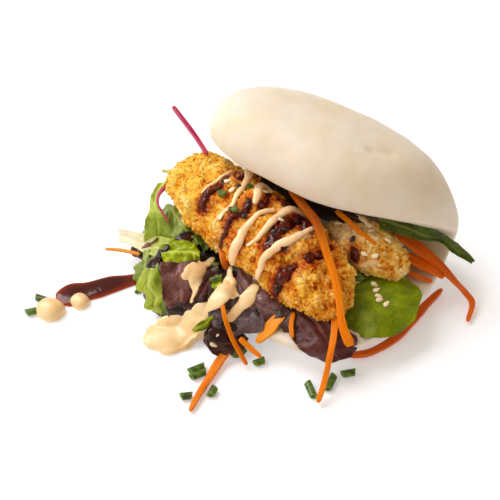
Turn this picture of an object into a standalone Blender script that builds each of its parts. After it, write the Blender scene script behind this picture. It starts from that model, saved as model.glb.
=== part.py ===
"""A filled gua bao: a folded steamed bun with crumbed chicken, salad, carrot and sauces.

Frame: metres, +Z up. The origin is the middle of the bun's flat underside, X runs along the fold
and the mouth opens towards -Y. Lists of places and widths below are in millimetres.
"""

import math

import bmesh
import bpy
import numpy as np
from mathutils import Vector, noise
from mathutils.bvhtree import BVHTree

MM = 0.001
GAP = 0.35 * MM               # air left between two pieces that touch
SHARPEST = 1.6                 # limit on how much further a corner moves than a face when a skin swells

# ---- bun: an oval of dough folded in half ----
BUN_HALF_LENGTH = 52 * MM      # along the fold
LID_REACH = 57.5 * MM          # from fold to upper lip, along the dough
BASE_REACH = 81 * MM           # from fold to lower lip
FOLD_Y = 36 * MM               # where the base starts to turn up into the fold
LID_THICKNESS = 36 * MM
LID_CROWN = 0.10               # how much thicker the lid is at its crown
CROWN_X = 8 * MM               # middle of the crown, a little right of the bun's middle
CROWN_HALF = 45 * MM
BASE_THICKNESS = 14 * MM
FOLD_THICKNESS = 12 * MM
FOLD_LENGTH = 15 * MM          # dough that turns round the fold
LID_OPENING = math.radians(64.5)
LID_TWIST = math.radians(6.5)  # the lid stands further open at its left end
LID_RISE = math.radians(3)     # how far the upper lip points above level
LID_FLARE = 0.07               # the lid is this much longer at its lip than at the fold
LID_FULLNESS = 0.11            # extra length of the lid's right half between fold and lip
LID_SHIFT = -0.17              # sideways lean of the lid, for each metre from the fold
BASE_SHIFT = 0.19
OUTLINE_POWER = 2.93           # 2 is an ellipse; more is squarer
OUTER_SHARE = 0.78             # part of the thickness outside the dough's middle line
UNDERSIDE_PRESS = 1.3          # dough pushed below the flat underside before it is levelled
BUN_GRID = 11

# ---- toppings ----
SEED_HALF = (1.6, 1.0, 0.5)
CHIVE_RADIUS = 1.5 * MM
CHIVE_WALL = 0.55 * MM
LEAF_THICKNESS = 1.0 * MM


# ---------------------------------------------------------------- curves and primitives

def mix(a, b, t):
    return a + (b - a) * t


def smooth(t):
    t = min(1.0, max(0.0, t))
    return t * t * (3 - 2 * t)


def spline(values, place):
    """Point of a smooth curve through the values; place runs from 0 at the first to 1 at the last."""
    values = [np.asarray(value, dtype=float) for value in values]
    values = [2 * values[0] - values[1]] + values + [2 * values[-1] - values[-2]]
    x = min(max(place, 0.0), 1.0) * (len(values) - 3)
    i = min(int(x), len(values) - 4)
    t = x - i
    a, b, c, d = values[i:i + 4]
    straight = 2 * b + (c - a) * t
    curved = (2 * a - 5 * b + 4 * c - d) * t ** 2 + (3 * b - a - 3 * c + d) * t ** 3
    return 0.5 * (straight + curved)


def ball(cells, blunt=2.0):
    """Unit sphere made from an evenly divided cube; with blunt over 2 its ends along X are fuller."""
    bm = bmesh.new()
    bmesh.ops.create_cube(bm, size=2)
    bmesh.ops.subdivide_edges(bm, edges=bm.edges[:], cuts=cells - 1, use_grid_fill=True)
    for vert in bm.verts:
        vert.co = Vector([math.tan(math.pi / 4 * c) for c in vert.co]).normalized()
        x, y, z = vert.co
        radius = math.hypot(y, z)
        if radius > 1e-6:
            wider = (1 - abs(x) ** blunt) ** (1 / blunt) / radius
            vert.co = (x, y * wider, z * wider)
    return bm


def rod(sides, pieces):
    """Prism of radius 1 from x -1 to 1, its long edges divided into pieces."""
    bm = bmesh.new()
    bmesh.ops.create_cone(bm, cap_ends=True, segments=sides, radius1=1, radius2=1, depth=2)
    turn = math.pi / sides
    for vert in bm.verts:
        x, y, z = vert.co
        vert.co = (z, x * math.cos(turn) - y * math.sin(turn), x * math.sin(turn) + y * math.cos(turn))
    long_edges = [edge for edge in bm.edges if abs(edge.verts[0].co.x - edge.verts[1].co.x) > 1]
    bmesh.ops.subdivide_edges(bm, edges=long_edges, cuts=pieces - 1, use_grid_fill=True)
    return bm


def sheet(rows, columns):
    """Flat grid over x and y from -1 to 1, split into triangles."""
    bm = bmesh.new()
    bmesh.ops.create_grid(bm, x_segments=rows, y_segments=columns, size=1)
    bmesh.ops.triangulate(bm, faces=bm.faces[:], quad_method="FIXED")
    return bm


def bend(bm, path, widths, heights, roll=(0, 0)):
    """Carry a shape that runs from x -1 to 1 along a path; y and z become half width and half height."""
    for vert in bm.verts:
        x, y, z = vert.co
        place = (x + 1) / 2
        centre = spline(path, place)
        ahead = spline(path, place + 0.02) - spline(path, place - 0.02)
        ahead /= np.linalg.norm(ahead)
        side = np.cross((0, 0, 1), ahead)
        side /= np.linalg.norm(side)
        over = np.cross(ahead, side)
        angle = math.radians(spline(roll, place))
        across = y * spline(widths, place)
        rise = z * spline(heights, place)
        sideways = across * math.cos(angle) - rise * math.sin(angle)
        upwards = across * math.sin(angle) + rise * math.cos(angle)
        vert.co = (centre + side * sideways + over * upwards) * MM


def roughen(bm, size, depth, seed=0.0):
    """Push every point in or out by noise whose lumps are about size millimetres."""
    bm.normal_update()
    moves = []
    for vert in bm.verts:
        amount = noise.noise(vert.co / (size * MM) + Vector((seed, 0, 0)))
        moves.append(vert.normal * amount * depth * MM)
    for vert, move in zip(bm.verts, moves):
        vert.co += move


def level(bm, floor=0.0):
    """Flatten what hangs below the floor."""
    for vert in bm.verts:
        vert.co.z = max(vert.co.z, floor * MM)


def add_object(name, bm, material):
    """Every object is triangles, so that a bent face has the same shape wherever it is read."""
    bmesh.ops.triangulate(bm, faces=bm.faces[:])
    bmesh.ops.recalc_face_normals(bm, faces=bm.faces[:])
    if bm.calc_volume(signed=True) < 0:
        bmesh.ops.reverse_faces(bm, faces=bm.faces[:])
    mesh = bpy.data.meshes.new(name)
    bm.to_mesh(mesh)
    bm.free()
    mesh.shade_smooth()
    mesh.materials.append(material)
    obj = bpy.data.objects.new(name, mesh)
    bpy.context.scene.collection.objects.link(obj)
    return obj


def make_material(name, colour, roughness):
    material = bpy.data.materials.new(name)
    material.use_nodes = True
    shader = material.node_tree.nodes["Principled BSDF"]
    shader.inputs["Base Color"].default_value = (*colour, 1.0)
    shader.inputs["Roughness"].default_value = roughness
    return material


# ---------------------------------------------------------------- joining and clearing

def apply_modifiers(obj):
    depsgraph = bpy.context.evaluated_depsgraph_get()
    mesh = bpy.data.meshes.new_from_object(obj.evaluated_get(depsgraph))
    bm = bmesh.new()
    bm.from_mesh(mesh)
    bmesh.ops.triangulate(bm, faces=bm.faces[:])
    bm.to_mesh(mesh)
    bm.free()
    obj.modifiers.clear()
    obj.data = mesh


def keep_main_body(obj):
    """Drop loose scraps and the skins of sealed hollows."""
    bm = bmesh.new()
    bm.from_mesh(obj.data)
    unseen = set(bm.faces)
    bodies = []
    while unseen:
        queue = [unseen.pop()]
        body = []
        while queue:
            face = queue.pop()
            body.append(face)
            for edge in face.edges:
                for other in edge.link_faces:
                    if other in unseen:
                        unseen.remove(other)
                        queue.append(other)
        bodies.append(body)
    bodies.sort(key=lambda body: sum(face.calc_area() for face in body))
    scraps = [face for body in bodies[:-1] for face in body]
    bmesh.ops.delete(bm, geom=scraps, context="FACES")
    bm.to_mesh(obj.data)
    bm.free()


def unite(obj, toppings):
    """Fuse the toppings to the object."""
    collection = bpy.data.collections.new(obj.name + "_toppings")
    bpy.context.scene.collection.children.link(collection)
    for topping in toppings:
        collection.objects.link(topping)
    modifier = obj.modifiers.new("toppings", "BOOLEAN")
    modifier.operation = "UNION"
    modifier.operand_type = "COLLECTION"
    modifier.collection = collection
    modifier.solver = "MANIFOLD"
    apply_modifiers(obj)
    for topping in toppings:
        bpy.data.objects.remove(topping, do_unlink=True)
    bpy.data.collections.remove(collection)
    keep_main_body(obj)


def skin(obj, swell=0.0):
    """The object's surface as a bmesh, moved outwards by swell."""
    bm = bmesh.new()
    bm.from_mesh(obj.data)
    bm.normal_update()
    moves = [vert.normal * swell * min(vert.calc_shell_factor(), SHARPEST) for vert in bm.verts]
    for vert, move in zip(bm.verts, moves):
        vert.co += move
    return bm


def clear_of(obj, others):
    """Cut away what lies inside the others, or nearer to them than the gap."""
    for other in others:
        swollen = skin(other, GAP)
        if BVHTree.FromBMesh(skin(obj)).overlap(BVHTree.FromBMesh(swollen)):
            cutter = add_object("cutter", swollen, other.data.materials[0])
            modifier = obj.modifiers.new("clearance", "BOOLEAN")
            modifier.operation = "DIFFERENCE"
            modifier.object = cutter
            modifier.solver = "MANIFOLD"
            apply_modifiers(obj)
            bpy.data.objects.remove(cutter, do_unlink=True)
            keep_main_body(obj)
        else:
            swollen.free()


# ---------------------------------------------------------------- bun

def dough_heading(s, opening):
    """Direction of the dough at arc length s from the fold, 0 along +Y, in the YZ plane."""
    turn = math.pi - opening
    half = FOLD_LENGTH / 2
    if s < half:
        return turn * smooth((s + half) / FOLD_LENGTH)
    share = (s - half) / (LID_REACH - half)
    return turn + (opening - LID_RISE) * share


def dough_point(x, s, height):
    """A point of the folded bun from its place on the flat oval and its height off the inner face."""
    opening = LID_OPENING - LID_TWIST * x / BUN_HALF_LENGTH
    start = -FOLD_LENGTH / 2
    y = FOLD_Y
    z = BASE_THICKNESS * (OUTER_SHARE + 0.02)
    steps = 30
    step = (s - start) / steps
    for k in range(steps):
        heading = dough_heading(start + step * (k + 0.5), opening)
        y += math.cos(heading) * step
        z += math.sin(heading) * step
    heading = dough_heading(s, opening)
    y += math.sin(heading) * height
    z -= math.cos(heading) * height
    x += abs(s) * (LID_SHIFT if s > 0 else BASE_SHIFT)
    return Vector((x, y, max(z, 0.0)))


def dough_thickness(x, s):
    reach, full = (LID_REACH, LID_THICKNESS) if s > 0 else (BASE_REACH, BASE_THICKNESS)
    if s > 0:
        full *= 1 + LID_CROWN * max(0, 1 - ((x - CROWN_X) / CROWN_HALF) ** 2)
    return mix(FOLD_THICKNESS, full, smooth((abs(s) / reach - 0.05) / 0.35))


def outline_spread(x, y):
    """How much further out the squarish outline lies than a circle, in this direction."""
    across = math.hypot(x, y)
    if across < 1e-6:
        return 1.0
    corner = abs(x / across) ** OUTLINE_POWER + abs(y / across) ** OUTLINE_POWER
    return corner ** (-1 / OUTLINE_POWER)


def make_bun(material):
    bm = ball(BUN_GRID)
    for vert in bm.verts:
        x, y, z = vert.co
        spread = outline_spread(x, y)
        reach = y * spread
        reach *= 0.4 + 0.6 * abs(reach)    # more points near the fold, where the dough turns
        s = reach * (LID_REACH if reach > 0 else BASE_REACH)
        outward = max(reach, 0)
        fullness = 4 * LID_FULLNESS * outward * (1 - outward) if x > 0 else 0
        x *= spread * BUN_HALF_LENGTH * (1 + LID_FLARE * outward + fullness)
        inner = z > 0
        press = smooth(-reach * 2.5)       # none round the fold and the lid
        swell = abs(z) ** (0.75 if inner else 0.62)
        share = 1 - OUTER_SHARE if inner else -OUTER_SHARE * mix(1.0, UNDERSIDE_PRESS, press)
        vert.co = dough_point(x, s, -swell * share * dough_thickness(x, s))
    return add_object("bun", bm, material)


# ---------------------------------------------------------------- small toppings

def landing(ground, x, y, top=60):
    """Where a thing dropped at x, y lands on an object, and the way the surface faces."""
    tree = BVHTree.FromBMesh(skin(ground))
    point, normal, _, _ = tree.ray_cast(Vector((x, y, top)) * MM, Vector((0, 0, -1)))
    if point is None:
        return Vector((x, y, 0)) * MM, Vector((0, 0, 1))
    return point, normal


def lay(bm, point, normal, heading):
    """Turn a small shape flat onto a surface and move it there."""
    ahead = Vector((math.cos(math.radians(heading)), math.sin(math.radians(heading)), 0))
    side = normal.cross(ahead).normalized()
    ahead = side.cross(normal)
    for vert in bm.verts:
        x, y, z = vert.co
        vert.co = point + ahead * x + side * y + normal * z


def seed(ground, x, y, heading, material):
    bm = bmesh.new()
    bmesh.ops.create_icosphere(bm, subdivisions=1, radius=1)
    for vert in bm.verts:
        x_half, y_half, z_half = SEED_HALF
        taper = 1 - 0.3 * vert.co.x
        vert.co = Vector((vert.co.x * x_half, vert.co.y * y_half * taper, vert.co.z * z_half + 0.2)) * MM
    point, normal = landing(ground, x, y)
    lay(bm, point, normal, heading)
    return add_object("seed", bm, material)


def chive_bit(ground, x, y, heading, material, length=3.0):
    bm = rod(6, 1)
    for vert in bm.verts:
        x_unit, y_unit, z_unit = vert.co
        vert.co = Vector((x_unit * length / 2, y_unit * CHIVE_RADIUS, z_unit * CHIVE_RADIUS + 0.6)) * MM
    point, normal = landing(ground, x, y)
    lay(bm, point, normal, heading)
    return add_object("chive_bit", bm, material)


def ribbon(ground, places, widths, heights, material, sink=0.3):
    """A line of thick sauce that follows the surface under it."""
    path = []
    for x, y in places:
        point, _ = landing(ground, x, y)
        path.append((x, y, point.z / MM - sink))
    bm = rod(5, len(path) - 1)
    bend(bm, path, widths, heights)
    return add_object("ribbon", bm, material)


# ---------------------------------------------------------------- chicken

def make_fillet(crumb):
    bm = ball(10, blunt=3.6)
    bend(bm,
         path=[(-54.5, 10, 27.5), (-40, 5, 28.5), (-16, -4, 28.5), (8, -9, 26.5), (24, -15, 23), (36.5, -20, 20.5)],
         widths=[15, 16, 17, 16.5, 14, 9],
         heights=[8, 9, 10, 10, 8, 5])
    roughen(bm, 8, 3.0, 3.0)
    roughen(bm, 3.5, 1.2, 9.0)
    return add_object("chicken_fillet", bm, crumb)


def make_tip(crumb):
    bm = ball(7, blunt=2.6)
    bend(bm,
         path=[(12, 14, 26), (24, 13, 25.5), (36, 12, 23), (47, 11, 20)],
         widths=[8, 10, 10, 7],
         heights=[6, 7, 6.5, 5])
    roughen(bm, 7, 1.6, 1.0)
    return add_object("chicken_tip", bm, crumb)


def dress_fillet(fillet):
    """Lines of mayonnaise, seeds and chives on the big piece."""
    crumb = fillet.data.materials[0]
    lines = [
        [(-33, 10), (-31, 0), (-32, -9)],
        [(-21, 12), (-22, 5), (-20, -2), (-19, -12), (-20, -17)],
        [(-16, 12), (-13, 4), (-11, -3)],
        [(-4, 3), (-8, -8), (-10, -14), (-7, -20), (-8, -24)],
        [(0, 8), (-1, -1), (-1, -12), (-4, -20)],
        [(11, 3), (10, -10), (8, -18), (5, -23), (3, -25)],
    ]
    toppings = [ribbon(fillet, line, [0.9, 1.7, 0.9], [0.6, 1.1, 0.6], crumb) for line in lines]
    for x, y, heading in ((-19, -15, 60), (-23, -2, 80), (-27, 1, 40), (-18, -11, 20), (1, -6, 30), (-12, -11, 90)):
        toppings.append(seed(fillet, x, y, heading, crumb))
    for x, y, heading in ((-26, -5, 20), (-19, 3, 70), (-16, -11, 50)):
        toppings.append(chive_bit(fillet, x, y, heading, crumb))
    unite(fillet, toppings)


def dress_tip(tip):
    crumb = tip.data.materials[0]
    toppings = []
    for x, y, heading in ((28, 17, 40), (30, 13, 80), (37, 13, 10), (32, 6, 0), (36, 6, 60), (25, 6, 90)):
        toppings.append(seed(tip, x, y, heading, crumb))
    unite(tip, toppings)


# ---------------------------------------------------------------- leaves

def leaf(name, material, path, widths, roll=(0, 0), cup=0.0, ruffle=0.0, waves=2, rows=8, columns=6):
    """A thin wavy solid: widths are half widths, cup lifts the edges and ruffle makes them wave."""
    bm = sheet(rows, columns)
    for vert in bm.verts:
        x, y, _ = vert.co
        wave = math.sin(math.pi * waves * x + (1.3 if y > 0 else 0))
        vert.co.z = cup * y * y + ruffle * abs(y) ** 1.5 * wave
    bend(bm, path, widths, [1, 1], roll)
    obj = add_object(name, bm, material)
    modifier = obj.modifiers.new("thickness", "SOLIDIFY")
    modifier.thickness = LEAF_THICKNESS
    modifier.offset = 0
    apply_modifiers(obj)
    return obj


def make_green_leaf_right(material):
    obj = leaf("green_leaf_right", material,
               path=[(24, 0, 16), (33, -3, 17), (44, -5, 16.5), (52, -5, 14.5), (58, -5, 10)],
               widths=[9, 17, 18.5, 15, 5], roll=[0, 0, 0, -6, -10], cup=-2.0, ruffle=1.2, rows=8, columns=6)
    toppings = []
    for x, y, heading in ((33, -11, 70), (36, -9, 60), (42, -9, 0), (44, -12, 60), (45, -14, 10), (47, -16, 50),
                          (49, -18, 80)):
        toppings.append(seed(obj, x, y, heading, material))
    unite(obj, toppings)
    return obj


def make_green_leaf_back(material):
    return leaf("green_leaf_back", material,
                path=[(28, 24, 33), (38, 23, 32), (48, 27, 27.5), (56, 31, 22.5), (63, 32.5, 16)],
                widths=[5, 7.5, 8, 6.5, 2], roll=[-25, -30, -30, -20, -10], cup=1.5, ruffle=0.8)


def make_red_leaf(material):
    return leaf("red_leaf_front", material,
                path=[(27, -12, 15), (30, -20, 16.2), (34, -28, 15.5), (38.5, -33, 13), (41, -35, 9)],
                widths=[8, 11, 13, 12, 5], roll=[0, 5, 8, 5, 0], cup=-1.5, ruffle=1.2,
                rows=7, columns=5)


# ---------------------------------------------------------------- salad heap

def make_heap(material):
    """Dressed leaves under the chicken and spilling over the left front edge: a core with leaves fused on."""
    bm = ball(4, blunt=3)
    bend(bm, path=[(-46, -3, 15.6), (-20, -6, 15.6), (0, -10, 15.6), (16, -12, 15.4)],
         widths=[9, 11, 11, 7], heights=[1, 1, 1, 0.8])
    heap = add_object("salad_heap", bm, material)
    pieces = []
    bm = ball(5, blunt=3)
    bend(bm, path=[(-53, -12, 7), (-44, -26, 7.5), (-26, -35, 7.5), (-8, -39, 6.5), (8, -41, 4)],
         widths=[6, 10, 9, 7, 4], heights=[7, 7.5, 7.5, 6.5, 4])
    roughen(bm, 9, 3, 4.0)
    level(bm)
    pieces.append(add_object("spill", bm, material))
    bm = ball(4, blunt=3)
    bend(bm, path=[(-46, -12, 14), (-26, -20, 14.5), (-4, -27, 14), (16, -28, 13.5)],
         widths=[8, 9, 8, 5], heights=[4.5, 4, 3, 2])
    roughen(bm, 8, 2, 8.0)
    pieces.append(add_object("ledge", bm, material))
    leaves = [
        dict(path=[(-54, 6, 25), (-57, -2, 25), (-56, -9, 22), (-51, -15, 18), (-48, -19, 13)],
             widths=[1, 1.5, 5, 9, 8], roll=[0, 0, 10, 15, 10], ruffle=1.0),
        dict(path=[(-46, -4, 22), (-41, -10, 22), (-37, -17, 19), (-34, -22, 16)],
             widths=[3, 7, 7, 4], cup=-1.5, ruffle=1.5, waves=3),
        dict(path=[(-67, -22, 8), (-58, -21, 11), (-48, -22, 15), (-37, -23, 18), (-26, -21, 17)],
             widths=[4.5, 4.5, 5, 5, 5], roll=[10, 0, 0, 0, 0], cup=1.5, ruffle=0.8, waves=3),
        dict(path=[(-42, -27, 15), (-38, -33, 13), (-37, -39, 7.5), (-36, -44, 3)],
             widths=[4, 7, 7, 3], cup=-1.0, ruffle=1.2),
        dict(path=[(-40, -22, 17), (-32, -28, 17.5), (-28, -35, 13), (-27, -41, 8)],
             widths=[7, 10, 9, 6], cup=1.5, ruffle=1.2),
        dict(path=[(-12, -20, 18), (1, -26, 18), (10, -32, 16), (12, -37, 12)],
             widths=[7, 10, 9, 6], cup=-1.5, ruffle=1.0),
        dict(path=[(-16, -30, 15), (-9, -37, 12), (-3, -43, 7), (0, -47, 2)],
             widths=[6, 9, 9, 5], cup=-1.5, ruffle=1.5),
    ]
    for spec in leaves:
        pieces.append(leaf("leaf", material, rows=4, columns=3, **spec))
    unite(heap, pieces)
    return heap


def dress_heap(heap):
    """Mayonnaise, seeds and chives on the salad."""
    material = heap.data.materials[0]
    toppings = [
        ribbon(heap, [(-20, -16), (-24, -24), (-27, -32)], [2.5, 4, 2], [1.2, 1.5, 1], material),
        ribbon(heap, [(-24, -26), (-22, -32), (-21, -38)], [3, 2.5, 1.5], [1.2, 1.2, 1], material),
        ribbon(heap, [(-12, -20), (-8, -27), (-10, -35), (-14, -39)], [2.5, 4, 3, 2.5], [1.2, 1.6, 1.4, 1.2], material),
        ribbon(heap, [(3, -24), (-1, -29), (-5, -36)], [2.5, 3, 2], [1.3, 1.5, 1.1], material),
    ]
    for x, y, heading in ((-15, -23, 10), (-2, -40, 40), (-26, -22, 50)):
        toppings.append(seed(heap, x, y, heading, material))
    for x, y, heading in ((-18, -22, 70), (-12, -31, 60), (-47, -29, 80)):
        toppings.append(chive_bit(heap, x, y, heading, material))
    unite(heap, toppings)


# ---------------------------------------------------------------- carrot, stem, sauces and chives

CARROTS = {
    "carrot_long": dict(path=[(-4, 9, 41), (6, 3, 40.5), (14, -1, 39), (23, -9, 35), (33, -18, 29), (40, -26, 21.5),
                              (46, -30, 17)],
                        widths=[1.8, 2.4, 2.3, 2.1, 2.1, 2.4, 3.2], heights=[1.3], roll=[0, -10, -15, -10, 0, 10, 10]),
    "carrot_thin_top": dict(path=[(15, 12, 36), (21, 11, 34.5), (28, 9, 33.2), (35, 8, 31.5)],
                            widths=[1.1, 1.2, 1.0, 0.7], heights=[0.8]),
    "carrot_right_long": dict(path=[(36, 24, 24), (44, 24, 19), (53, 26, 16.5), (61, 27, 10), (66, 28, 5), (70, 26, 3),
                                    (72, 18, 1.5)],
                              widths=[2.2, 2.4, 2, 1.6, 1.5, 1.5, 1.4], heights=[0.9]),
    "carrot_right_low": dict(path=[(38, 19, 20.5), (46, 20, 17.5), (53, 22, 15.5), (58, 23, 12.5)],
                             widths=[1.6, 2, 1.8, 1.4], heights=[0.9]),
    "carrot_right_under": dict(path=[(41, 15.5, 17.2), (48, 16, 15.8), (55, 19, 13)],
                               widths=[1.2, 1.3, 0.9], heights=[0.7]),
    "carrot_front_right": dict(path=[(42, -22, 1.5), (48, -16, 1.5), (52.5, -5, 1.5), (54, 6, 1.5), (54.5, 17, 1.5),
                                     (56, 28, 1.5)],
                               widths=[1.4, 1.8, 1.9, 1.9, 2, 1.2], heights=[1.1]),
    "carrot_front": dict(path=[(33, -19, 19), (38, -28, 18.2), (41, -36, 14.5), (42.5, -42, 7), (43.5, -48, 1.6)],
                         widths=[1.6, 1.6, 1.5, 1.4, 1.2], heights=[1.0]),
    "carrot_wide": dict(path=[(18, -26, 17), (17, -32, 16), (16.5, -38, 13.5), (14, -43, 9)],
                        widths=[1.6, 2.1, 2.1, 1.4], heights=[0.9]),
    "carrot_curl": dict(path=[(20, -27, 17), (22, -32, 16), (25, -36, 14.5)],
                        widths=[1.0, 1.2, 0.8], heights=[0.7]),
    "carrot_left_long": dict(path=[(-1, -44, 8), (1, -52, 3), (3, -61, 1.5), (4, -69, 1.5), (6, -76, 1.2)],
                             widths=[1.9, 1.9, 1.6, 1.4, 1.0], heights=[1.0]),
    "carrot_left_curve": dict(path=[(-5, -38, 20), (0, -43, 17), (4, -45, 11), (8, -46, 6), (12, -47, 2)],
                              widths=[1.0, 1.1, 1.1, 1.1, 0.9], heights=[0.8]),
    "carrot_left_small": dict(path=[(7, -44, 11), (12, -44.5, 9), (17, -45, 7.5)],
                              widths=[1.3, 1.3, 0.9], heights=[0.7]),
    "carrot_far_left": dict(path=[(-69, -27, 4), (-61, -26, 6.5), (-52, -26, 9)],
                            widths=[0.6, 0.8, 0.9], heights=[0.6]),
}

CHIVES = [
    dict(place=(-3, -58, 1.6), heading=60, length=6),
    dict(place=(-1, -60, 1.6), heading=60, length=6),
    dict(place=(8, -64, 1.6), heading=100, length=4),
    dict(place=(1, -71, 1.6), heading=40, length=4),
    dict(place=(15, -42.5, 1.6), heading=60, length=4),
    dict(place=(38, -44, 1.6), heading=-40, length=7),
    dict(place=(42.5, -37, 1.6), heading=100, length=7),
    dict(place=(46, -29.5, 1.6), heading=45, length=5),
    dict(place=(-74, -68.5, 1.6), heading=50, length=4),
    dict(place=(-75, -61, 1.6), heading=10, length=5),
]


def make_carrot(name, material, path, widths, heights, roll=(0, 0)):
    bm = rod(4, 8)
    corner = math.sqrt(2)
    bend(bm, path, [width * corner for width in widths], [height * corner for height in heights * 2], roll)
    return add_object(name, bm, material)


def make_chive(name, material, place, heading, length):
    """A cut chive: a short hollow tube lying on the floor."""
    bm = rod(8, 1)
    for vert in bm.verts:
        vert.co = Vector((vert.co.x * length / 2 * MM, vert.co.y * CHIVE_RADIUS, vert.co.z * CHIVE_RADIUS))
    caps = [face for face in bm.faces if abs(face.normal.x) > 0.9]
    bmesh.ops.inset_region(bm, faces=caps, thickness=CHIVE_WALL)
    bmesh.ops.bridge_loops(bm, edges=[edge for face in caps for edge in face.edges])
    bmesh.ops.delete(bm, geom=caps, context="FACES_ONLY")
    lay(bm, Vector(place) * MM, Vector((0, 0, 1)), heading)
    return add_object(name, bm, material)


def make_beet_stem(material):
    bm = rod(8, 8)
    bend(bm, [(-67, 21, 46.5), (-60, 19, 43), (-53, 16.5, 40), (-44, 12, 37.2)],
         [0.8, 0.9, 1.0, 0.9], [0.8, 0.9, 1.0, 0.9])
    return add_object("beet_stem", bm, material)


def make_sauces(mayo, soy):
    pieces = []
    for name, path, widths, heights, cells, material in (
            ("mayo_drop_large", [(-74, -62.5, 0.6), (-63, -64.5, 0.6)], [5.2, 5.2], [4.5, 4.5], 4, mayo),
            ("mayo_drop_small", [(-65.2, -52.5, 0.5), (-58, -54.5, 0.5)], [3.6, 3.6], [3, 3], 3, mayo),
            ("mayo_pool", [(-32, -55, 0.5), (-22, -52, 0.5), (-13, -46, 1.5), (-5, -40, 4)], [6, 9, 7, 4],
             [4, 5, 5, 4], 5, mayo),
            ("soy_smear", [(-71, -57, 0.3), (-67, -52, 0.3), (-62, -46, 0.3), (-56, -38, 0.3), (-48, -28, 0.3)],
             [5.5, 6.5, 5, 4.5, 4], [1.2, 1.2, 1.1, 1.1, 1.1], 4, soy)):
        bm = ball(cells, blunt=2.5)
        bend(bm, path, widths, heights)
        level(bm)
        pieces.append(add_object(name, bm, material))
    return pieces


# ---------------------------------------------------------------- main

def main():
    for obj in list(bpy.data.objects):
        bpy.data.objects.remove(obj, do_unlink=True)
    dough = make_material("steamed_dough", (0.86, 0.80, 0.68), 0.5)
    crumb = make_material("panko_crumb", (0.80, 0.45, 0.12), 0.7)
    salad = make_material("salad_leaf", (0.12, 0.14, 0.05), 0.35)
    green = make_material("green_leaf", (0.16, 0.33, 0.03), 0.4)
    dark_green = make_material("spinach_leaf", (0.04, 0.12, 0.02), 0.35)
    purple = make_material("red_lettuce", (0.10, 0.04, 0.05), 0.4)
    carrot = make_material("carrot", (0.80, 0.24, 0.02), 0.4)
    beet = make_material("beet_stem", (0.50, 0.02, 0.08), 0.35)
    mayo = make_material("spiced_mayonnaise", (0.85, 0.62, 0.36), 0.3)
    soy = make_material("dark_soy_glaze", (0.08, 0.02, 0.015), 0.1)
    chive = make_material("chive", (0.07, 0.20, 0.03), 0.4)

    bun = make_bun(dough)
    fillet = make_fillet(crumb)
    tip = make_tip(crumb)
    dress_fillet(fillet)
    clear_of(fillet, [bun])
    dress_tip(tip)
    clear_of(tip, [bun, fillet])
    placed = [bun, fillet, tip]

    def place(obj):
        clear_of(obj, placed)
        placed.append(obj)

    for name, spec in CARROTS.items():
        place(make_carrot(name, carrot, **spec))
    place(make_beet_stem(beet))
    place(make_green_leaf_right(green))
    place(make_green_leaf_back(dark_green))
    place(make_red_leaf(purple))
    for sauce in make_sauces(mayo, soy):
        place(sauce)
    heap = make_heap(salad)
    dress_heap(heap)
    place(heap)
    for number, spec in enumerate(CHIVES, 1):
        place(make_chive(f"chive_{number}", chive, **spec))


main()
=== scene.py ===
import math
import random

import bpy
import numpy as np
from mathutils import Matrix, Vector, noise
from mathutils.bvhtree import BVHTree
from mathutils.kdtree import KDTree


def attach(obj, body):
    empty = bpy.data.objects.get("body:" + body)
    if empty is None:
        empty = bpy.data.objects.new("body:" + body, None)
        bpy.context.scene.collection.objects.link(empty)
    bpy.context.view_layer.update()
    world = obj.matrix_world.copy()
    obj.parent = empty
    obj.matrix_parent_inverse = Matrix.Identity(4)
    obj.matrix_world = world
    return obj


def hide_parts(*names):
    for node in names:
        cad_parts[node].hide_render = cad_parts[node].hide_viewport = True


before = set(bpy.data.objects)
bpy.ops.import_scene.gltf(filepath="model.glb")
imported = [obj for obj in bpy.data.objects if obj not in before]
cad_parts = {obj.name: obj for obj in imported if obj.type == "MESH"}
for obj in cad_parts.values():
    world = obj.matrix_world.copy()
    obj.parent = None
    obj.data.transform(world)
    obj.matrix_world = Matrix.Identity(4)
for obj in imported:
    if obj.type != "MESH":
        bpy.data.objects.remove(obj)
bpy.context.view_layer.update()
bpy.context.scene.view_settings.view_transform = "Standard"  # hex colours come out as they are written
mm = 0.001  # places and sizes below are in mm, except those of floor, lights and camera


# colours are written as sRGB hex and turned to linear here
def hexColour(code):
    parts = [int(code[i:i + 2], 16) / 255 for i in (1, 3, 5)]
    return tuple(p / 12.92 if p <= 0.04045 else ((p + 0.055) / 1.055) ** 2.4 for p in parts) + (1.0,)


# adds a node; an input is a number, a hex colour, a socket, or a node whose first output in use is
# taken; a colour Mix has its factor at input 0 and its two colours at 6 and 7
# a pattern's scale is 1000 over its size in mm, or a plain number on a UV map, 1 unit of which is 10 mm
def addNode(tree, kind, inputs=None, stops=(), **settings):
    node = tree.nodes.new("ShaderNode" + kind)
    for name, value in settings.items():
        setattr(node, name, value)
    for name, value in (inputs or {}).items():
        if isinstance(value, bpy.types.Node):
            value = next(output for output in value.outputs if output.enabled)
        if isinstance(value, bpy.types.NodeSocket):
            tree.links.new(value, node.inputs[name])
        else:
            node.inputs[name].default_value = hexColour(value) if isinstance(value, str) else value
    if stops:
        ramp = node.color_ramp
        ramp.elements.remove(ramp.elements[-1])
        ramp.elements[0].position = stops[0][0]
        ramp.elements[0].color = hexColour(stops[0][1])
        for place, colour in stops[1:]:
            ramp.elements.new(place).color = hexColour(colour)
    return node


def newMaterial(name):
    material = bpy.data.materials.new(name)
    material.use_nodes = True
    material.node_tree.nodes.clear()
    return material, material.node_tree, addNode(material.node_tree, "TexCoord").outputs


# the last step of a material: its look goes to its output
def closeMaterial(material, inputs):
    shader = addNode(material.node_tree, "BsdfPrincipled", inputs)
    addNode(material.node_tree, "OutputMaterial", {"Surface": shader})
    return material


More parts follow.
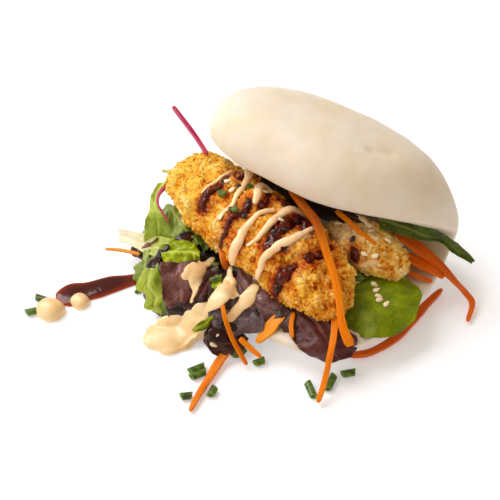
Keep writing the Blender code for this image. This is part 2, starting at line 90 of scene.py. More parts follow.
def deselectAll():
    if bpy.context.object and bpy.context.object.mode != "OBJECT":
        bpy.ops.object.mode_set(mode="OBJECT")
    bpy.ops.object.select_all(action="DESELECT")


def pickOnly(*pieces):
    deselectAll()
    for piece in pieces:
        piece.select_set(True)
    bpy.context.view_layer.objects.active = pieces[0]


# Blender's own shape of a kind, such as a cube, to model from
def startFrom(kind, name="", **settings):
    deselectAll()
    getattr(bpy.ops.mesh, f"primitive_{kind}_add")(**settings)
    bpy.context.object.name = name or kind
    return bpy.context.object


def readPoints(piece, kind="co"):
    points = np.empty(len(piece.data.vertices) * 3)
    piece.data.vertices.foreach_get(kind, points)
    return points.reshape(-1, 3)


def writePoints(piece, points):
    piece.data.vertices.foreach_set("co", np.asarray(points, dtype=np.float32).ravel())
    piece.data.update()


def keepAbove(piece, level=0.0):
    points = readPoints(piece)
    points[:, 2] = np.maximum(points[:, 2], level * mm)
    writePoints(piece, points)


def writeAttribute(piece, name, values):
    layer = piece.data.attributes.get(name) or piece.data.attributes.new(name, "FLOAT", "POINT")
    layer.data.foreach_set("value", np.asarray(values, dtype=np.float32))


# a UV place for each vertex
def writeUv(piece, flat):
    corners = np.empty(len(piece.data.loops), dtype=np.int32)
    piece.data.loops.foreach_get("vertex_index", corners)
    piece.data.uv_layers.active.data.foreach_set("uv", flat[corners].astype(np.float32).ravel())


def noiseAt(points, size, seed=0.0):
    shift = Vector((seed, 0, 0))
    return np.array([noise.noise(Vector(point) / size + shift) for point in points])


def cellAt(points, size, seed=0.0):
    shift = Vector((seed, 0, 0))
    return np.array([noise.voronoi(Vector(point) / size + shift)[0][0] for point in points])


# lumps of a size and depth along the normals; the seed picks a place in the noise
def roughen(piece, size, depth, seed):
    points = readPoints(piece)
    heights = noiseAt(points, size * mm, seed) * depth * mm
    writePoints(piece, points + readPoints(piece, "normal") * heights[:, None])


def applyModifier(piece, kind, **settings):
    pickOnly(piece)
    modifier = piece.modifiers.new(kind, kind)
    for name, value in settings.items():
        setattr(modifier, name, value)
    bpy.ops.object.modifier_apply(modifier=modifier.name)


def subdivide(piece, levels=1):
    applyModifier(piece, "SUBSURF", levels=levels, render_levels=levels)


def joinAll(name, pieces):
    pickOnly(*pieces)
    bpy.ops.object.join()
    pieces[0].name = name
    return pieces[0]


def newPiece(name, corners, faces):
    mesh = bpy.data.meshes.new(name)
    mesh.from_pydata(corners, [], faces)
    piece = bpy.data.objects.new(name, mesh)
    bpy.context.collection.objects.link(piece)
    return piece


def finishPiece(piece, material, slotName, *nodes, sharpFrom=None):
    piece.data.materials.clear()
    piece.data.materials.append(material)
    pickOnly(piece)
    bpy.ops.object.shade_smooth()
    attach(piece, "root")
    if nodes:
        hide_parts(*nodes)
    if sharpFrom:
        bpy.ops.object.shade_smooth_by_angle(angle=math.radians(sharpFrom))


# a smooth curve through rows of values, at places from 0 to 1
def splineAt(values, places):
    values = np.array([np.atleast_1d(value) for value in values], dtype=float)
    values = np.vstack([2 * values[0] - values[1], values, 2 * values[-1] - values[-2]])
    x = np.clip(places, 0, 1) * (len(values) - 3)
    i = np.minimum(x.astype(int), len(values) - 4)
    t = (x - i)[:, None]
    a, b, c, d = values[i], values[i + 1], values[i + 2], values[i + 3]
    curve = 2 * b + (c - a) * t + (2 * a - 5 * b + 4 * c - d) * t ** 2
    return 0.5 * (curve + (3 * b - a - 3 * c + d) * t ** 3)


# lays points (place along, mm across, mm up) on a path, whose rows start with x, y and z
def bendAlong(place, across, rise, path, roll=(0, 0)):
    path = np.array(path, dtype=float)[:, :3]
    centre = splineAt(path, place)
    ahead = splineAt(path, place + 0.02) - splineAt(path, place - 0.02)
    ahead /= np.linalg.norm(ahead, axis=1)[:, None]
    side = np.cross((0, 0, 1), ahead)
    side /= np.linalg.norm(side, axis=1)[:, None]
    over = np.cross(ahead, side)
    angle = np.radians(splineAt(roll, place)[:, 0])
    sideways = across * np.cos(angle) - rise * np.sin(angle)
    upwards = across * np.sin(angle) + rise * np.cos(angle)
    return (centre + side * sideways[:, None] + over * upwards[:, None]) * mm


# lays points between a left and a right edge
def layBetween(place, across, rise, left, right):
    leftEdge = splineAt(left, place)
    rightEdge = splineAt(right, place)
    centre = (leftEdge + rightEdge) / 2
    ahead = (splineAt(left, place + 0.02) + splineAt(right, place + 0.02)
             - splineAt(left, place - 0.02) - splineAt(right, place - 0.02))
    side = leftEdge - rightEdge
    side /= np.linalg.norm(side, axis=1)[:, None]
    over = np.cross(ahead, side)
    over /= np.linalg.norm(over, axis=1)[:, None] * np.where(over[:, 2:] < 0, -1, 1)
    return (centre + side * across[:, None] + over * rise[:, None]) * mm


# a cube cut into cells and blown up to a ball, bent along its form
# a row of the form holds x, y, z, half width and half height
def addBall(name, form, cells, blunt=2.0):
    piece = startFrom("cube", name, size=2)
    bpy.ops.object.mode_set(mode="EDIT")
    bpy.ops.mesh.select_all(action="SELECT")
    bpy.ops.mesh.subdivide(number_cuts=cells - 1)
    bpy.ops.object.mode_set(mode="OBJECT")
    unit = np.tan(np.pi / 4 * readPoints(piece))
    unit /= np.linalg.norm(unit, axis=1)[:, None]
    radius = np.maximum(np.hypot(unit[:, 1], unit[:, 2]), 1e-6)
    wider = np.clip(1 - np.abs(unit[:, 0]) ** blunt, 0, 1) ** (1 / blunt) / radius
    place = (unit[:, 0] + 1) / 2
    halves = splineAt(form, place)[:, 3:]
    across = unit[:, 1] * wider * halves[:, 0]
    rise = unit[:, 2] * wider * halves[:, 1]
    writePoints(piece, bendAlong(place, across, rise, form))
    return piece


def groundOf(*pieces, withFloor=False):
    corners = []
    faces = []
    if withFloor:
        corners = [(-0.2, -0.2, 0.0), (0.2, -0.2, 0.0), (0.2, 0.2, 0.0), (-0.2, 0.2, 0.0)]
        faces = [[0, 1, 2, 3]]
    for piece in pieces:
        start = len(corners)
        corners += [tuple(point) for point in readPoints(piece)]
        faces += [[start + corner for corner in face.vertices] for face in piece.data.polygons]
    return BVHTree.FromPolygons(corners, faces)


def dropOn(ground, x, y):
    return ground.ray_cast(Vector((x * mm, y * mm, 0.1)), Vector((0, 0, -1)))


def nearestOn(ground, place):
    spot, normal = ground.find_nearest(Vector(place) * mm)[:2]
    return spot, normal


# where a place meets what is below it; a place with a height goes to the nearest surface
def landOn(ground, place):
    if len(place) == 3:
        spot, normal = nearestOn(ground, place)
    else:
        spot, normal = dropOn(ground, *place)[:2]
        if spot is None:
            spot, normal = nearestOn(ground, (*place, 30))
    normal = normal.normalized()
    return spot, -normal if normal.z < -0.2 else normal


# a stroke's rows hold x, y, perhaps a height, and last its half width; the upright share turns
# the normals up
def strokeSpots(ground, stroke, step=0.5, upright=0.5):
    points = [np.array(landOn(ground, row[:-1])[0]) / mm for row in stroke]
    length = sum(np.linalg.norm(b - a) for a, b in zip(points, points[1:]))
    along = np.linspace(0, 1, max(3, int(length / step)))
    spots = []
    for middle, half in zip(splineAt(points, along), splineAt([row[-1] for row in stroke], along)[:, 0]):
        spot, normal = landOn(ground, middle)
        spots.append((spot, (normal + Vector((0, 0, upright))).normalized(), half))
    return spots


softRings = ((0.0, 1), (0.5, 6), (1.0, 8))  # share of the reach, and how many places are looked at


# the ground under a thick sauce: a plane laid through what lies within reach of a place
def softSpot(ground, x, y, reach):
    rows = []
    heights = []
    for ring, count in softRings:
        for number in range(count):
            turn = 2 * math.pi * number / count
            dx = reach * ring * math.cos(turn)
            dy = reach * ring * math.sin(turn)
            hit = dropOn(ground, x + dx, y + dy)[0]
            if hit is not None:
                rows.append((1.0, dx, dy))
                heights.append(hit.z / mm)
    level, leanX, leanY = np.linalg.lstsq(np.array(rows), np.array(heights), rcond=None)[0]
    return Vector((x, y, level)) * mm, Vector((-leanX, -leanY, 1.2)).normalized()


# along a stroke; where its rows have a height of their own, the sauce bridges the gaps below it
def softSpots(ground, stroke, reach, step=0.6):
    length = sum(math.dist(a[:-1], b[:-1]) for a, b in zip(stroke, stroke[1:]))
    along = np.linspace(0, 1, max(3, int(length / step)))
    spots = []
    for row in splineAt(stroke, along):
        spot, normal = softSpot(ground, row[0], row[1], reach)
        if len(row) == 4:
            spot = Vector(row[:3]) * mm
        spots.append((spot, normal, row[-1]))
    return spots


# a poured sauce: balls squashed onto the ground along each stroke, fused and smoothed
# its height is a share of its half width, one for all strokes or one for each
def pourSauce(name, ground, strokes, voxel, height, unevenness=0.22, seed=1.0, smooth=6, reach=None,
              lift=0.0):
    corners = []
    faces = []
    ballPoints, ballFaces = takeShape(startFrom("ico_sphere", subdivisions=2, radius=1))
    for stroke, flatness in zip(strokes, np.broadcast_to(height, len(strokes))):
        spots = softSpots(ground, stroke, reach) if reach else strokeSpots(ground, stroke)
        for spot, normal, half in spots:
            half *= 1 + unevenness * noise.noise(spot / (3.5 * mm) + Vector((seed, 0, 0)))
            turn = normal.to_track_quat("Z", "Y").to_matrix()
            middle = spot + normal * ((0.15 * half + lift) * mm)
            start = len(corners)
            size = np.array([half, half, half * flatness])
            corners += [turn @ Vector(point) + middle for point in ballPoints * size * mm]
            faces += [[start + corner for corner in face] for face in ballFaces]
    piece = newPiece(name, corners, faces)
    applyModifier(piece, "REMESH", mode="VOXEL", voxel_size=voxel * mm)
    applyModifier(piece, "SMOOTH", factor=0.5, iterations=smooth)
    return piece


# copies of small modelled shapes, put in one mesh; each copy carries its own tone
def spreadCopies(name, shapes, places):
    corners = []
    faces = []
    tones = []
    start = 0
    for matrix, tone, which in places:
        points, shapeFaces = shapes[which % len(shapes)]
        corners.append(points @ np.array(matrix.to_3x3()).T + np.array(matrix.translation))
        tones.append(np.full(len(points), tone))
        faces += [[start + corner for corner in face] for face in shapeFaces]
        start += len(points)
    piece = newPiece(name, np.vstack(corners).tolist(), faces)
    writeAttribute(piece, "tone", np.concatenate(tones))
    return piece


def takeShape(piece):
    shape = (readPoints(piece), [list(face.vertices) for face in piece.data.polygons])
    bpy.data.objects.remove(piece)
    return shape


# ahead and side on a surface, for a heading in degrees
def headingOn(normal, heading):
    ahead = Vector((math.cos(math.radians(heading)), math.sin(math.radians(heading)), 0))
    side = normal.cross(ahead).normalized()
    return side.cross(normal), side


def settle(spot, normal, heading, size, sink=0.0, tilt=0.0):
    ahead, side = headingOn(normal, heading)
    turn = Matrix((ahead, side, normal)).transposed() @ Matrix.Rotation(math.radians(tilt), 3, "Y")
    turn = turn @ Matrix.Diagonal(Vector(size) * mm)
    return Matrix.Translation(spot - normal * sink * mm) @ turn.to_4x4()


print("helpers ready")

# the bun: a steamed wheat bun folded once, its skin left smooth but for a short crease
bunLook = {
    "light": "#E6DDD0", "shade": "#E3D8C6", "patch": "#DFD4BA", "patchSize": 16,
    "poreSize": 0.9, "poreBump": 0.7, "waveSize": 5.0, "waveBump": 0.5,
    "swells": [(26, 0.7, 3.0), (7, 0.18, 5.0)],  # size, depth and seed
    "dentFrom": (22, 25.5, 60.7), "dentTo": (27.5, 29.3, 58.8), "dentWide": 2.3, "dentDeep": 0.85,
}


# steamed wheat dough: matt satin skin, light glows a little through it, faint yellowish patches
def steamedDough(look):
    material, tree, coords = newMaterial("steamedWheatDough")
    patches = addNode(tree, "TexNoise", {
        "Vector": coords["Object"], "Scale": 1000 / look["patchSize"], "Detail": 3.0, "Roughness": 0.55})
    colour = addNode(tree, "ValToRGB", {"Fac": patches}, [
        (0.30, look["patch"]), (0.46, look["shade"]), (0.62, look["light"])])
    pores = addNode(tree, "TexNoise", {
        "Vector": coords["Object"], "Scale": 1000 / look["poreSize"], "Detail": 4.0, "Roughness": 0.6})
    waves = addNode(tree, "TexNoise", {
        "Vector": coords["Object"], "Scale": 1000 / look["waveSize"], "Detail": 2.0})
    fine = addNode(tree, "Bump", {"Height": pores, "Distance": 0.0001, "Strength": look["poreBump"]})
    broad = addNode(tree, "Bump", {
        "Height": waves, "Distance": 0.0004, "Strength": look["waveBump"], "Normal": fine})
    rough = addNode(tree, "MapRange", {"Value": pores, "To Min": 0.42, "To Max": 0.62})
    return closeMaterial(material, {
        "Base Color": colour, "Roughness": rough, "Normal": broad, "IOR": 1.42, "Subsurface Weight": 0.22,
        "Subsurface Radius": (1.0, 0.62, 0.35), "Subsurface Scale": 0.004})


def makeBun():
    piece = bpy.data.objects.new("steamedBun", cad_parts["bun"].data.copy())
    bpy.context.collection.objects.link(piece)
    pickOnly(piece)
    bpy.ops.mesh.customdata_custom_splitnormals_clear()
    bpy.ops.object.mode_set(mode="EDIT")
    bpy.ops.mesh.select_all(action="SELECT")
    bpy.ops.mesh.remove_doubles(threshold=0.00002)
    bpy.ops.mesh.tris_convert_to_quads(face_threshold=1.2, shape_threshold=1.2)
    bpy.ops.mesh.normals_make_consistent(inside=False)
    bpy.ops.object.mode_set(mode="OBJECT")
    subdivide(piece, 3)
    applyModifier(piece, "SMOOTH", factor=0.5, iterations=4)
    for size, depth, seed in bunLook["swells"]:
        roughen(piece, size, depth, seed)
    points = readPoints(piece)
    start = np.array(bunLook["dentFrom"]) * mm
    crease = np.array(bunLook["dentTo"]) * mm - start
    along = np.clip((points - start) @ crease / (crease @ crease), 0, 1)
    away = np.linalg.norm(points - start - along[:, None] * crease, axis=1) / (bunLook["dentWide"] * mm)
    depth = bunLook["dentDeep"] * mm * (np.exp(-away ** 2) + 0.6 * np.exp(-(away / 3) ** 2))
    writePoints(piece, points - readPoints(piece, "normal") * depth[:, None])
    keepAbove(piece)
    finishPiece(piece, steamedDough(bunLook), "dough", "bun")


makeBun()
print("bun done")

# the fried chicken: a fillet and the tip of a second one, in panko crumb
crumbLook = {
    "orange": ("#8A2C02", "#BE5204", "#E28408", "#F5A628", "#FCCE7C"),
    "golden": ("#E08410", "#F2A828", "#FBC444", "#FDD464", "#FFEAB0"), "goldFrom": -12, "goldTo": -50,
    "glazeDark": "#300503", "glazeRed": "#761E0A", "stain": "#CC5410", "cream": "#E6C290",
    "glazeEdge": [(2.2, 4.0, 1.4), (0.9, 8.0, 0.8)],  # size, seed and depth of its ragged edge
    "glazeBlur": 0.6, "stainReach": 4.8, "stainShare": 0.8, "creamBlur": 1.5, "creamShare": 0.9,
    "crumbSize": 2.1, "ridgeSize": 1.5, "shredSize": 0.8, "lumpSize": 5.0, "baseTone": 0.40,
    "flakeSize": (0.4, 1.3), "flakeTilt": 0.9, "flakesWashedOff": 0.92,  # the last where glaze is
    "lift": (1.1, 0.6, 0.45, 1.0), "light": (0.42, 0.3, 0.2, 0.4),  # for crumbs, ridges, shreds and lumps; the light shares are painted shade, crumb tops lighter and hollows darker
}

# the tip is paler, with mayonnaise rubbed over it
tipCrumbLook = dict(
    crumbLook, golden=("#A04E06", "#D68A1C", "#EEB444", "#F6CC70", "#FCE4B0"), goldFrom=70, goldTo=15)

# a glaze or cream stroke is brushed on: its rows hold x, y, perhaps a height, and its half width
filletPlan = {
    "form": [(-54.5, 10, 27.5, 15, 8), (-40, 5, 28.5, 16, 9), (-16, -4, 28.5, 17, 10),
             (8, -9, 26.5, 16.5, 10), (24, -15, 23, 14, 8), (36.5, -20, 20.5, 9, 5)],
    "blunt": 3.6, "cells": 88, "rough": [(9, 2.6, 3.0), (3.5, 0.7, 9.0)],  # size, depth and seed
    "seed": 11, "flakes": 6800, "paleness": 0.0,
    "glaze": [
        [(-28, 10, 1), (-29, -1, 1.5), (-31, -8, 1.6), (-30, -12, 2.4)],
        [(-29, 10, 1.2), (-24, 11, 1.6), (-25, 4, 1)],
        [(-14, -4, 1.3), (-13, -10, 1.8), (-16, -14, 1.6), (-15, -18, 1.4), (-15, -20, 26, 1.4)],
        [(-12, 7, 1), (-9, -3, 1.4)],
        [(-8, -20, 1.6), (-8, -23, 1.8)],
        [(5, 1, 2.6), (3, -8, 2.8), (4, -16, 2.4), (4, -20, 2)],
        [(5, 1, 2.2), (9, 1, 2.4), (10, -3, 1.6)],
        [(3, -18, 1.8), (8, -16, 2)],
        [(16, -19, 1.4), (14, -22, 2.2), (13, -25, 2.4), (12, -26, 23, 1.6)],
        [(18, -12, 1.2), (17, -15, 1)],
        [(21, -2, 1.2), (19, -15, 1)],
        [(-5, 6, 2.2), (-2, 4, 2)],
    ],
    "cream": [
        [(12, -2, 1.5), (11, -8, 2.6), (9, -15, 2)],
    ],
}
tipPlan = {
    "form": [(12, 14, 26, 8, 6), (24, 13, 25.5, 10, 7), (36, 12, 23, 10, 6.5), (47, 11, 20, 7, 5)],
    "blunt": 2.6, "cells": 52, "rough": [(7, 1.6, 1.0)], "seed": 23, "flakes": 1500, "paleness": 0.1,
    "glaze": [
        [(27, 4, 1), (29, 3, 1.5), (30, 1, 1)],
    ],
    "cream": [
        [(13, 16, 3.5), (20, 15, 4.5), (28, 14, 4), (33, 12, 1.5)],
        [(17, 8, 3.5), (22, 8, 3.5), (27, 9, 2)],
        [(33, 2, 1.5), (37, 4, 1.5)],
    ],
}


# panko crumb fried golden: dry ragged crumbs with painted shade, darker in the hollows and lighter on top,
# wet and dark where the glaze has soaked in
def friedPanko(name, look):
    material, tree, coords = newMaterial(name)
    tone, glaze, stain, cream = [addNode(tree, "Attribute", attribute_name=layer).outputs["Fac"]
                                 for layer in ("tone", "glaze", "stain", "cream")]
    grain = addNode(tree, "TexNoise", {
        "Vector": coords["Object"], "Scale": 1000 / 0.9, "Detail": 5.0, "Roughness": 0.7})
    patches = addNode(tree, "TexNoise", {
        "Vector": coords["Object"], "Scale": 1000 / 7, "Detail": 3.0, "Roughness": 0.6})
    lift = addNode(tree, "Math", {0: grain, 1: 0.7, 2: -0.35}, operation="MULTIPLY_ADD")
    height = addNode(tree, "Math", {0: tone, 1: lift}, operation="ADD")
    # the dark end of each ramp is painted shade in the hollows, carried by the tone
    orange, golden = [
        addNode(tree, "ValToRGB", {"Fac": height}, list(zip((0.05, 0.27, 0.50, 0.72, 0.97), look[kind])))
        for kind in ("orange", "golden")]
    apart = addNode(tree, "SeparateXYZ", {"Vector": coords["Object"]})
    leftwards = addNode(tree, "MapRange", {
        "Value": apart.outputs["X"], "From Min": look["goldFrom"] * mm, "From Max": look["goldTo"] * mm,
        "To Min": -1.95, "To Max": -0.75})
    goldShare = addNode(tree, "Math", {
        0: patches, 1: 4.6, 2: leftwards}, operation="MULTIPLY_ADD", use_clamp=True)
    fried = addNode(tree, "Mix", {0: goldShare, 6: orange, 7: golden}, data_type="RGBA")
    stained = addNode(tree, "Mix", {
        0: stain, 6: fried, 7: look["stain"]}, data_type="RGBA", blend_type="MULTIPLY")
    creamed = addNode(tree, "Mix", {0: cream, 6: stained, 7: look["cream"]}, data_type="RGBA")
    soaked = addNode(tree, "Mix", {0: grain, 6: look["glazeDark"], 7: look["glazeRed"]}, data_type="RGBA")
    dressed = addNode(tree, "Mix", {
        0: glaze, 6: creamed, 7: soaked}, data_type="RGBA")
    return closeMaterial(material, {
        "Base Color": dressed,
        "Roughness": addNode(tree, "MapRange", {"Value": glaze, "To Min": 0.6, "To Max": 0.2}),
        "Normal": addNode(tree, "Bump", {"Height": grain, "Distance": 0.0006, "Strength": 0.8}),
        "Specular IOR Level": 0.2, "Subsurface Weight": 0.15, "Subsurface Radius": (1.0, 0.5, 0.12),
        "Subsurface Scale": 0.0015})


# how far a point lies inside the strokes, in mm, with a ragged edge
def strokeDepth(points, spots):
    tree = KDTree(len(spots))
    for number, (spot, normal, half) in enumerate(spots):
        tree.insert(spot, number)
    tree.balance()
    depth = []
    for point, rag in zip(points, sum(noiseAt(points, size * mm, seed) * deep
                                      for size, seed, deep in crumbLook["glazeEdge"])):
        number, distance = tree.find(Vector(point))[1:]
        depth.append(spots[number][2] - distance / mm + rag)
    return np.array(depth)


def wetness(depth):
    return np.clip(depth / crumbLook["glazeBlur"] + 0.5, 0, 1)


# the glaze, the stain around it, and where mayonnaise has been rubbed over the crumb
def writeDressing(piece, glazeDepth, creamSpots):
    writeAttribute(piece, "glaze", wetness(glazeDepth))
    stain = np.clip(glazeDepth / crumbLook["stainReach"] + 1.0, 0, 1) ** 2
    writeAttribute(piece, "stain", stain * crumbLook["stainShare"])
    cream = strokeDepth(readPoints(piece), creamSpots) / crumbLook["creamBlur"] + 0.3
    writeAttribute(piece, "cream", np.clip(cream, 0, crumbLook["creamShare"]))


# ragged flakes of crumb, modelled a few ways and copied
def makeFlakes(count=8):
    shapes = []
    chooser = random.Random(3)
    for number in range(count):
        flake = startFrom("ico_sphere", subdivisions=1, radius=1)
        points = readPoints(flake)
        points *= np.array([[chooser.uniform(0.55, 1.45)] for point in points])
        points *= np.array([1.0, chooser.uniform(0.35, 0.75), chooser.uniform(0.22, 0.5)])
        writePoints(flake, points)
        shapes.append(takeShape(flake))
    return shapes


flakeShapes = makeFlakes()


# returns the bare form, which sauces and seeds are laid on, with the crust and its flakes
def makeCrust(name, plan):
    core = addBall(name + "Core", plan["form"], 26, plan["blunt"])
    crust = addBall(name, plan["form"], plan["cells"], plan["blunt"])
    for piece in (core, crust):
        for size, depth, seed in plan["rough"]:
            roughen(piece, size, depth, seed)
    ground = groundOf(core)
    glazeSpots = [spot for stroke in plan["glaze"] for spot in strokeSpots(ground, stroke)]
    creamSpots = [spot for stroke in plan["cream"] for spot in strokeSpots(ground, stroke)]
    points = readPoints(crust)
    seed = plan["seed"]
    glazeDepth = strokeDepth(points, glazeSpots)
    wet = wetness(glazeDepth)
    drawnOut = points * np.array([1.0, 0.5, 1.0])
    layers = (0.6 - cellAt(points, crumbLook["crumbSize"] * mm, seed),
              0.5 - np.abs(noiseAt(points, crumbLook["ridgeSize"] * mm, seed + 5)) * 1.6,
              0.5 - np.abs(noiseAt(drawnOut, crumbLook["shredSize"] * mm, seed + 9)) * 1.6,
              noiseAt(points, crumbLook["lumpSize"] * mm, seed + 2))
    height = sum(layer * lift for layer, lift in zip(layers, crumbLook["lift"])) * (1 - 0.75 * wet)
    # the tone is painted shade: higher crumbs lighter, hollows darker
    tone = np.clip(sum((layer * light for layer, light in zip(layers, crumbLook["light"])),
                       start=crumbLook["baseTone"] + plan["paleness"]), 0, 1)
    writePoints(crust, points + readPoints(crust, "normal") * (height * mm)[:, None])
    writeAttribute(crust, "tone", tone)
    writeDressing(crust, glazeDepth, creamSpots)
    # flakes stand on the crust, fewer where the glaze is
    chooser = random.Random(seed * 7 + 1)
    faces = crust.data.polygons
    steps = np.cumsum([face.area for face in faces])
    smallest, largest = crumbLook["flakeSize"]
    tilt = crumbLook["flakeTilt"]
    places = []
    for number in range(plan["flakes"]):
        face = faces[int(np.searchsorted(steps, chooser.random() * steps[-1]))]
        corner = face.vertices[0]
        if wet[corner] > 0.3 and chooser.random() < crumbLook["flakesWashedOff"]:
            continue
        size = smallest + (largest - smallest) * chooser.random() ** 2.4
        lean = Vector([chooser.uniform(-tilt, tilt) for axis in range(3)])
        normal = (face.normal + lean).normalized()
        heading = chooser.uniform(0, 360)
        sizes = (size, size, size * chooser.uniform(0.6, 1))
        matrix = settle(face.center, normal, heading, sizes, sink=0.1 * size)
        # a flake takes the painted shade of the crust under it, plus a random tone
        places.append((matrix, tone[corner] * 0.75 + 0.03 + chooser.random() ** 2 * 0.45, number))
    flakes = spreadCopies(name + "Flakes", flakeShapes, places)
    writeDressing(flakes, strokeDepth(readPoints(flakes), glazeSpots), creamSpots)
    return core, crust, flakes


cores = {}
for kind, plan, finish, node in (
        ("Fillet", filletPlan, friedPanko("friedPankoCrumb", crumbLook), "chicken_fillet"),
        ("Tip", tipPlan, friedPanko("friedPankoCrumbPale", tipCrumbLook), "chicken_tip")):
    cores[kind], crust, flakes = makeCrust("fried" + kind, plan)
    finishPiece(crust, finish, "crumb", node)
    finishPiece(flakes, finish, "crumb")
chickenGround = groundOf(*cores.values())
print("chicken done")

# salad leaves: deep, light and vein colour, roughness and shine
leafLooks = {
    "butterLettuce": ("#526600", "#849600", "#A8B428", 0.36, 0.18),
    "limeLettuce": ("#728C00", "#A8B808", "#CCD660", 0.38, 0.18),
    "romaine": ("#92A630", "#C4CC62", "#DCDC9C", 0.34, 0.3),
    "violetLettuce": ("#5A363C", "#947072", "#A07E7E", 0.2, 0.5),
    "redButter": ("#3A1414", "#5E3030", "#8A5450", 0.28, 0.3),
    "babySpinach": ("#2C3E06", "#566E10", "#97A45A", 0.26, 0.28),
    "redLettuce": ("#4C2424", "#7E4C4A", "#9C6E68", 0.3, 0.3),
    "darkLettuce": ("#241110", "#4A2A24", "#5C4032", 0.28, 0.3),
    # the next look is near-black as painted shadow, for the leaf under the lid
    "paintedShadowLettuce": ("#120908", "#281812", "#33261A", 0.4, 0.15),
    "wetVioletLettuce": ("#33222A", "#5C444C", "#7A6468", 0.2, 0.7),
    "greyGreenLettuce": ("#5A6E1C", "#94A848", "#B4C070", 0.34, 0.3),
    "midGreenLettuce": ("#86A022", "#B2C23E", "#CFD878", 0.38, 0.3),
}

